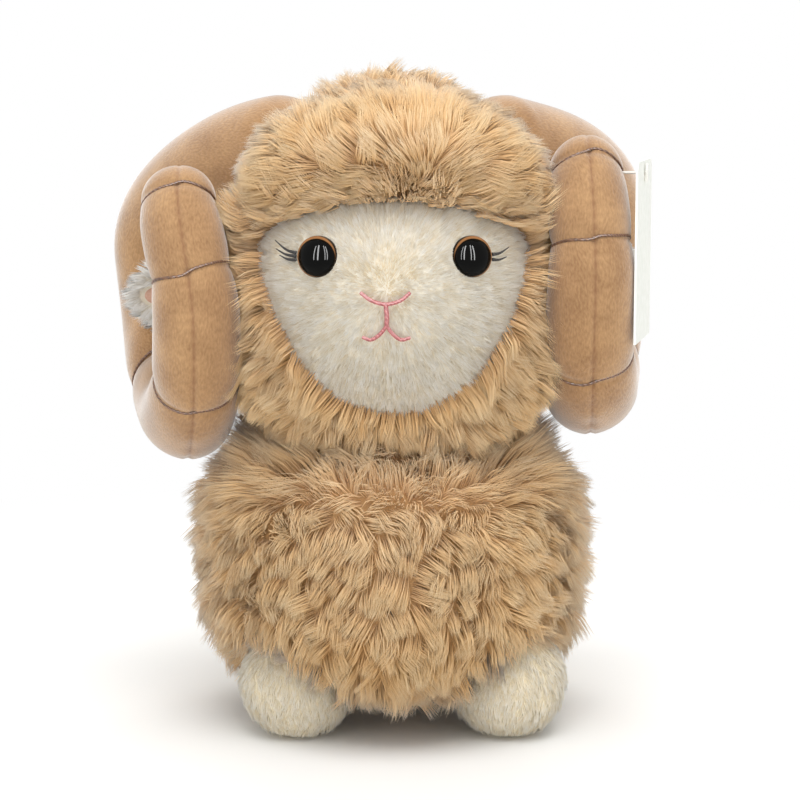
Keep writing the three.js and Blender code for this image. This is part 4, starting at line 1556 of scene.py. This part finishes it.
@dataclass
class Ear:
    """A soft leaf with a white fluffy back and a rose lining, in the curl of the horn; mm."""

    side: Side
    laid_back: float  # degrees
    fluff: float = 1.0  # share of the pile's length, less where the tag presses on it
    length: float = 41.0
    height: float = 27.0
    thickness: float = 11.0
    rim: float = 8.5  # fluffy edge round the lining
    pile: PileCut = PileCut(6.0, 0.36, 4.2, 62, 40, lock=3.4, gather=0.35, stray=20, stations=STRAIGHT)

    def set_out(self, local: Array) -> Array:
        """Turns the ear's own frame, x along it and y to its back, to its place on the head.

        Args:
            local: points in the ear's frame.

        Returns:
            The points in the toy's frame.
        """
        angle = self.side.value * np.radians(self.laid_back)
        along = np.array([np.cos(angle), np.sin(angle), 0.0]) * self.side.value
        behind = np.array([-np.sin(angle), np.cos(angle), 0.0])
        return joint_place(f"ear_{self.side.word}_flap") + local @ np.stack([along, behind, UP])

    def leaf(self, inset: float, front: float, back: float) -> Surface:
        """A leaf: rings along its length, oval with its own depth before and behind.

        Args:
            inset: mm inside the outline.
            front: depth of the front.
            back: depth of the back.

        Returns:
            The skin.
        """
        half, tall = self.length / 2 - inset, self.height / 2 - inset
        bend = np.linspace(0, np.pi, 42)[1:-1, None]
        turn = round_angles(48)[None]
        swell = np.sin(bend) ** 0.9
        x = self.length / 2 - half * np.cos(bend) + inset / 2
        y = np.where(np.sin(turn) > 0, back, -front) * swell * np.abs(np.sin(turn)) ** 0.8
        z = tall * swell * np.cos(turn)
        return skin(self.set_out(np.stack([x * np.ones_like(turn), y, z], axis=-1)))

    def build(self) -> None:
        """Places the back, the lining and the pile round the rim."""
        word = self.side.word
        body = f"ear_{word}"
        pivot = joint_place(f"{body}_flap")
        back = self.leaf(0.0, 1.2, self.thickness / 2)
        lining = self.leaf(self.rim, 2.2, 0.4)
        under_lining = self.leaf(self.rim + 0.6, 0.0, 0.0).points
        place(f"{body}_leaf", back, CREAM_NAP, body, "short_pile", (f"ear_back_{word}",), fill=0.5)
        place(f"{body}_inside", lining, ROSE_NAP, body, "ear_lining", (f"ear_lining_{word}",), fill=0.3)

        def keep(roots: Array) -> Array:
            """Hairs stand on the back and the rim, not under the lining or in the head."""
            close = np.linalg.norm(roots - under_lining[nearest(roots, under_lining)], axis=1) < 1.3
            return ~close & (np.abs(roots[:, 0] - pivot[0]) > 4)

        def flow(roots: Array) -> Array:
            """Outwards along the ear and away from its middle line."""
            return (roots - pivot) * (1.0, 0.6, 1.0)

        def length(roots: Array) -> Array:
            """The same all over."""
            return np.full(len(roots), self.fluff)

        def facing(roots: Array) -> Array:
            """The fluff faces up and to its own side of the leaf."""
            return np.sign(roots[:, 1] - pivot[1])[:, None] * (0.0, 0.6, 0.0) + 0.6 * UP

        pile = Pile(f"{body}_pile", self.pile, WHITE_PILE, body, "short_pile", seed=61 + self.side.value)
        pile.grow(back, flow, keep, length, facing=facing)


@dataclass
class Foot:
    """A short round foot of sheared pile with a flat sole; mm."""

    end: End
    side: Side
    radius: float = 23.0
    shown: float = 37.0  # height up to which the foot looks out of the body
    pile: PileCut = PileCut(3.4, 0.38, 1.9, 26, 12, lock=3.0, gather=0.2, stray=12, stations=STRAIGHT)

    def build(self) -> None:
        """Places the ball with its sole, and the clipped pile on what shows of it."""
        name = f"{self.end.value}_{self.side.word}"
        body = f"foot_{name}"
        pivot = joint_place(f"{body}_swing")
        bend = np.linspace(np.arcsin(-pivot[2] / self.radius), np.pi / 2, 48)[:-1]
        ball = list(zip(self.radius * np.cos(bend), pivot[2] + self.radius * np.sin(bend)))
        sole = [(share * ball[0][0], 0.0) for share in (0.1, 0.5, 0.9)]
        surface = turned(sole + ball, pivot * (1.0, 1.0, 0.0), UP)
        nodes = (f"foot_cover_{name}", f"foot_stuffing_{name}")
        place(f"{body}_ball", surface, FOOT_NAP, body, "short_pile", nodes, fill=0.9)

        def keep(roots: Array) -> Array:
            """Hairs stand between the sole and the body."""
            return (roots[:, 2] > 1.5) & (roots[:, 2] < self.shown)

        def flow(_: Array) -> Array:
            """Downwards."""
            return -UP

        def blocked(points: Array) -> Array:
            """Hairs stay off the floor."""
            return points[:, 2] < 0.2

        def facing(_: Array) -> Array:
            """Up, as the pale floor lights the foot from below too."""
            return UP

        seed = 71 + self.side.value + 4 * (self.end is End.BACK)
        pile = Pile(f"{body}_pile", self.pile, FOOT_PILE, body, "short_pile", seed)
        pile.grow(surface, flow, keep, blocked=blocked, facing=facing)


@dataclass
class Body:
    """The barrel of long pile under the head, with its neck's dome and its tail; mm."""

    middle: Point = (0.0, 10.0, 61.0)
    half: Point = (80.0, 82.0, 52.0)
    shoulder: float = 5.0  # squareness over the middle
    belly: float = 2.6  # and under it
    sink: float = 6.5  # backing under the outside of the pile
    neck_radius: float = 46.0
    foot_hollow: float = 23.8  # radius
    tail_hollow: float = 9.8
    neck_level: float = 121.0  # height over which the neck's dome is bare
    foot_roots: float = 24.5  # least distance of roots from a foot's middle
    foot_hairs: float = 23.3  # and of hairs
    tail_roots: float = 11.0  # least distance of roots from the tail's root
    tail_half: Point = (13.0, 13.0, 10.0)
    tail_behind: float = 14.0  # middle of the tail behind its root
    tail_root: float = 8.4  # radius
    tape_inside: float = 22.0  # radius of the tape's upper edge
    tape_width: float = 8.0
    tape_gap: float = 0.8
    tape_thickness: float = 1.3
    collar: tuple[float, float] = (98.0, 119.0)  # heights between which the pile stands up under the chin
    collar_reach: float = 70.0  # how far from the neck's axis it does
    pile: PileCut = PileCut(
        11.5, 0.37, 1.22, 70, 28, lock=7.4, gather=0.18, stray=34, uneven=0.16, sway=20, blunt=0.85
    )
    collar_pile: PileCut = PileCut(
        15.0, 0.39, 0.85, 80, 44, lock=7.4, gather=0.2, stray=30, uneven=0.16, blunt=0.7
    )
    tail_pile: PileCut = PileCut(9.0, 0.36, 1.4, 64, 24, lock=6.0, gather=0.2, stray=25, blunt=0.7)

    def __post_init__(self) -> None:
        """Looks up where the feet sit."""
        self.feet = [joint_place(f"foot_{end.value}_{side.word}_swing") for end, side in FEET]

    def reach(self, ways: Array) -> Array:
        """The barrel or the neck's dome, whichever is further, drawn in where feet and tail sit.

        Args:
            ways: directions from the barrel's middle.

        Returns:
            The distance in each of them.
        """
        wide, deep, tall = self.half
        half = (wide - self.sink, deep - self.sink, tall - self.sink / 2)
        barrel = stuffed(ways, half, self.shoulder, self.belly)
        dome = Oval.ball(joint_place("neck_turn"), self.neck_radius)
        reach = np.maximum(barrel, dome.crossings(self.middle, ways)[1])
        hollows = [Oval.ball(foot, self.foot_hollow) for foot in self.feet]
        hollows.append(Oval.ball(joint_place("tail_wag"), self.tail_hollow))
        for hollow in hollows:
            reach = np.minimum(reach, hollow.crossings(self.middle, ways)[0])
        return reach

    def in_foot(self, points: Array, radius: float) -> Array:
        """True for points within a radius of a foot's middle."""
        return np.any([np.linalg.norm(points - foot, axis=1) < radius for foot in self.feet], axis=0)

    def in_collar(self, roots: Array) -> Array:
        """True for the shoulders round the neck, where the pile stands up under the chin."""
        level = (roots[:, 2] > self.collar[0]) & (roots[:, 2] < self.collar[1])
        return level & (np.hypot(roots[:, 0], roots[:, 1]) < self.collar_reach)

    def build_barrel(self) -> None:
        """Places the backing and its pile, brushed down and apart from the chest's middle."""
        backing = star(np.array(self.middle), self.reach)
        nodes = ("body_cover", "body_stuffing")
        place("body_backing", backing, TAN_BACKING, "torso", "long_pile", nodes, fill=0.8)

        def keep(roots: Array) -> Array:
            """Hairs stand clear of the neck's dome, the collar, the feet and the tail.

            Args:
                roots: points on the backing.

            Returns:
                True for each that carries a hair.
            """
            tail = np.linalg.norm(roots - joint_place("tail_wag"), axis=1) < self.tail_roots
            taken = (roots[:, 2] > self.neck_level) | tail | self.in_foot(roots, self.foot_roots)
            return ~taken & ~self.in_collar(roots)

        def flow(roots: Array) -> Array:
            """Down, and away from the middle of the chest."""
            return (roots - self.middle) * (0.011, 0.008, 0.0) - UP

        def blocked(points: Array) -> Array:
            """Hairs stay out of the feet and off the floor."""
            return self.in_foot(points, self.foot_hairs) | (points[:, 2] < 1.0)

        def length(roots: Array) -> Array:
            """Shorter under the belly."""
            return 0.55 + 0.45 * ease(roots[:, 2], 8, 34)

        def collar_length(roots: Array) -> Array:
            """Longer beside the neck, where it fills the corner between head, horn and shoulder."""
            aside = np.abs(roots[:, 0])
            return 1.0 + 0.4 * ease(aside, 34, 46) - 0.75 * ease(aside, 50, 62)

        def collar_facing(roots: Array) -> Array:
            """Outwards from the neck."""
            return unit(roots * (1.0, 1.0, 0.0)) + 0.2 * UP

        pile = Pile("body_pile", self.pile, TAN_PILE, "torso", "long_pile", seed=11)
        pile.grow(backing, flow, keep, length, blocked)
        pile = Pile("collar_pile", self.collar_pile, TAN_PILE, "torso", "long_pile", seed=15)
        pile.grow(backing, flow, self.in_collar, collar_length, facing=collar_facing)

    def build_tail(self) -> None:
        """Places the tail: a small egg on its root, covered in long pile."""
        root = joint_place("tail_wag")
        start = root + (0.0, 5.0, 0.0)
        egg = Oval((root[0], root[1] + self.tail_behind, root[2]), self.tail_half)
        ball = Oval.ball(root, self.tail_root)

        def reach(ways: Array) -> Array:
            """The egg or the ball at its root, whichever is further."""
            return np.maximum(egg.crossings(start, ways)[1], ball.crossings(start, ways)[1])

        def keep(roots: Array) -> Array:
            """Hairs stand behind the root."""
            return roots[:, 1] > start[1]

        def flow(roots: Array) -> Array:
            """Away from the root and down."""
            return roots - root - 3 * UP

        backing = star(start, reach, 30, 40)
        place("tail_backing", backing, TAN_BACKING, "tail", "long_pile", ("tail",), fill=0.6)
        pile = Pile("tail_pile", self.tail_pile, TAN_PILE, "tail", "long_pile", seed=21)
        pile.grow(backing, flow, keep)

    def build_neck_band(self) -> None:
        """Places the gathering tape: a strip on the neck's dome, closed to a ring."""
        low = np.arcsin(self.tape_inside / self.neck_radius)
        high = low + self.tape_width / self.neck_radius
        middle = (low + high) / 2
        inside = self.neck_radius + self.tape_gap
        angle = np.array([low, middle, high, high, middle, low])
        shell = inside + self.tape_thickness * np.array([0, 0, 0, 1, 1, 1])
        turn = round_angles(72)[:, None]
        flat, tall = shell * np.sin(angle), shell * np.cos(angle)
        rings = np.stack([flat * np.cos(turn), flat * np.sin(turn), tall * np.ones_like(turn)], axis=-1)
        tape = skin(joint_place("neck_turn") + rings, closed=True)
        place("neck_tape", tape, TAPE, "neck", "tape", ("neck_band",))

    def build(self) -> None:
        """Places the barrel, the tail and the neck's tape."""
        self.build_barrel()
        self.build_tail()
        self.build_neck_band()


@dataclass
class Fittings:
    """The rigid solids that stay as they are: the card tag, its pin and the eyes' washers."""

    card: Sequence[str] = ("hang_tag",)
    nylon: Sequence[str] = ("tag_fastener", "eye_washer_left", "eye_washer_right")

    def build(self) -> None:
        """Gives the solids their finishes."""
        for finish, names in ((CARD, self.card), (NYLON, self.nylon)):
            for name in names:
                node = frame["nodes"][name]
                node.data.materials.clear()
                node.data.materials.append(finish.material())
                LOG.info("%s: finish %s", name, finish.name)


def seen_plainly(tree: Tree) -> Socket:
    """Adds the share that is 1 for what the camera sees, straight on, mirrored or through glass.

    Args:
        tree: node tree of a material or world.

    Returns:
        The share's socket.
    """
    rays = add(tree, "ShaderNodeLightPath").outputs
    straight, mirrored, through = (rays[f"Is {kind} Ray"] for kind in ("Camera", "Glossy", "Transmission"))
    either = add(tree, "ShaderNodeMath", {0: straight, 1: mirrored}, operation="MAXIMUM").outputs[0]
    return add(tree, "ShaderNodeMath", {0: either, 1: through}, operation="MAXIMUM").outputs[0]


@dataclass
class Studio:
    """A pale floor, soft light and the camera of the photograph; mm and degrees."""

    distance: float = 1000.0  # from the camera to its target
    elevation: float = 8.0
    yaw: float = 0.5
    target: Point = (0.0, 0.0, 133.0)
    lens: float = 108.0
    sensor: float = 36.0
    shift: tuple[float, float] = (0.0225, -0.016)
    lit: Point = (0.0, 0.0, 140.0)  # what the lamps look at
    floor_edge: float = 6000.0  # from the middle
    paper: tuple[float, float] = (160.0, 500.0)  # distances between which the floor turns to plain white
    strips: Sequence[tuple[float, float]] = ((-560.0, 60.0), (-260.0, 100.0), (250.0, 60.0), (480.0, 80.0))
    strip_power: float = 0.22  # watts per mm of width

    def camera(self) -> None:
        """Looks at the target from the photograph's side and height."""
        tilt, turn = np.radians([self.elevation, self.yaw])
        view = np.array([np.sin(turn) * np.cos(tilt), np.cos(turn) * np.cos(tilt), -np.sin(tilt)])
        data = bpy.data.cameras.new("camera")
        data.lens, data.sensor_width = self.lens, self.sensor
        data.shift_x, data.shift_y = self.shift
        camera = bpy.data.objects.new("camera", data)
        camera.location = (np.array(self.target) - view * self.distance) * MM
        camera.rotation_euler = (np.pi / 2 - tilt, 0.0, -turn)
        bpy.context.scene.collection.objects.link(camera)
        bpy.context.scene.camera = camera

    def lamp(self, name: str, place_mm: Point, size: tuple[float, float], watts: float) -> bpy.types.Object:
        """Adds an area lamp that looks at the toy.

        Args:
            name: lamp name.
            place_mm: where it hangs.
            size: width and height.
            watts: power.

        Returns:
            The lamp.
        """
        data = bpy.data.lights.new(name, "AREA")
        data.shape, data.energy = "RECTANGLE", watts
        data.size, data.size_y = size[0] * MM, size[1] * MM
        lamp = bpy.data.objects.new(name, data)
        lamp.location = np.array(place_mm) * MM
        away = np.array(place_mm) - self.lit
        level = np.hypot(away[0], away[1])
        lamp.rotation_euler = (np.arctan2(level, away[2]), 0.0, np.arctan2(away[0], -away[1]))
        bpy.context.scene.collection.objects.link(lamp)
        return lamp

    def floor(self) -> None:
        """A pale floor that keeps the shadow and turns to plain white away from the toy."""
        edge = self.floor_edge * MM
        mesh = bpy.data.meshes.new("floor")
        corners = [(-edge, -edge, 0), (edge, -edge, 0), (edge, edge, 0), (-edge, edge, 0)]
        mesh.from_pydata(corners, [], [(0, 1, 2, 3)])
        # Matt white paper that takes a soft grey shadow under the toy.
        material, tree = new_material("matt white paper sweep")
        far = add(tree, "ShaderNodeVectorMath", {0: own_place(tree)}, operation="LENGTH").outputs["Value"]
        near, plain = (distance * MM for distance in self.paper)
        feeds = {0: far, 1: near, 2: plain}
        fade = add(tree, "ShaderNodeMapRange", feeds, interpolation_type="SMOOTHSTEP").outputs[0]
        share = add(tree, "ShaderNodeMath", {0: fade, 1: seen_plainly(tree)}, operation="MULTIPLY")
        paper = add(tree, "ShaderNodeBsdfDiffuse", {"Color": linear("f6f6f4")})
        white = add(tree, "ShaderNodeEmission", {"Color": linear("ffffff"), "Strength": 1.0})
        shaders = {0: share.outputs[0], 1: paper.outputs[0], 2: white.outputs[0]}
        mix = add(tree, "ShaderNodeMixShader", shaders)
        add(tree, "ShaderNodeOutputMaterial", {"Surface": mix.outputs[0]})
        mesh.materials.append(material)
        floor = bpy.data.objects.new("floor", mesh)
        bpy.context.scene.collection.objects.link(floor)

    def world(self) -> None:
        """Even soft light, and plain white where the camera or a reflection sees past the floor."""
        world = bpy.data.worlds.new("studio")
        world.use_nodes = True
        tree = world.node_tree
        tree.nodes.clear()
        soft = add(tree, "ShaderNodeBackground", {"Color": linear("ffffff"), "Strength": 0.8})
        white = add(tree, "ShaderNodeBackground", {"Color": linear("ffffff"), "Strength": 1.0})
        shaders = {0: seen_plainly(tree), 1: soft.outputs[0], 2: white.outputs[0]}
        mix = add(tree, "ShaderNodeMixShader", shaders)
        add(tree, "ShaderNodeOutputWorld", {"Surface": mix.outputs[0]})
        bpy.context.scene.world = world

    def build(self) -> None:
        """Sets up floor, world, lamps and camera."""
        self.floor()
        self.world()
        overhead = self.lamp("overhead", (60.0, -550.0, 1450.0), (1000.0, 1000.0), 12.0)
        behind = self.lamp("behind", (0.0, 800.0, 1200.0), (1200.0, 600.0), 5.0)
        for soft in (overhead, behind):
            soft.visible_glossy = False  # it would show as a grey square in the eyes
        for number, (x, width) in enumerate(self.strips, 1):
            watts = self.strip_power * width
            strip = self.lamp(f"strip_{number}", (x, -900.0, 600.0), (width, 1200.0), watts)
            strip.visible_diffuse = False  # only the eyes and other shiny pieces show the window strips
        self.camera()
        bpy.context.scene.view_settings.view_transform = "Standard"


def main() -> None:
    """Builds the toy piece by piece, then its studio."""
    logging.basicConfig(level=logging.INFO, format="%(name)s %(message)s")
    head_middle, head_half = np.array([0.0, -2.0, 188.0]), (66.0, 64.0, 78.0)
    horns = [Horn(side, head_middle, head_half) for side in Side]
    assemblies = [Body(), Head(Face(), horns, head_middle, head_half), *horns]
    assemblies += [Ear(Side.LEFT, laid_back=26.0, fluff=0.4), Ear(Side.RIGHT, laid_back=0.0)]
    assemblies += [Foot(end, side) for end, side in FEET]
    assemblies += [Fittings(), Studio()]
    for assembly in assemblies:
        assembly.build()


if __name__ == "__main__":
    main()
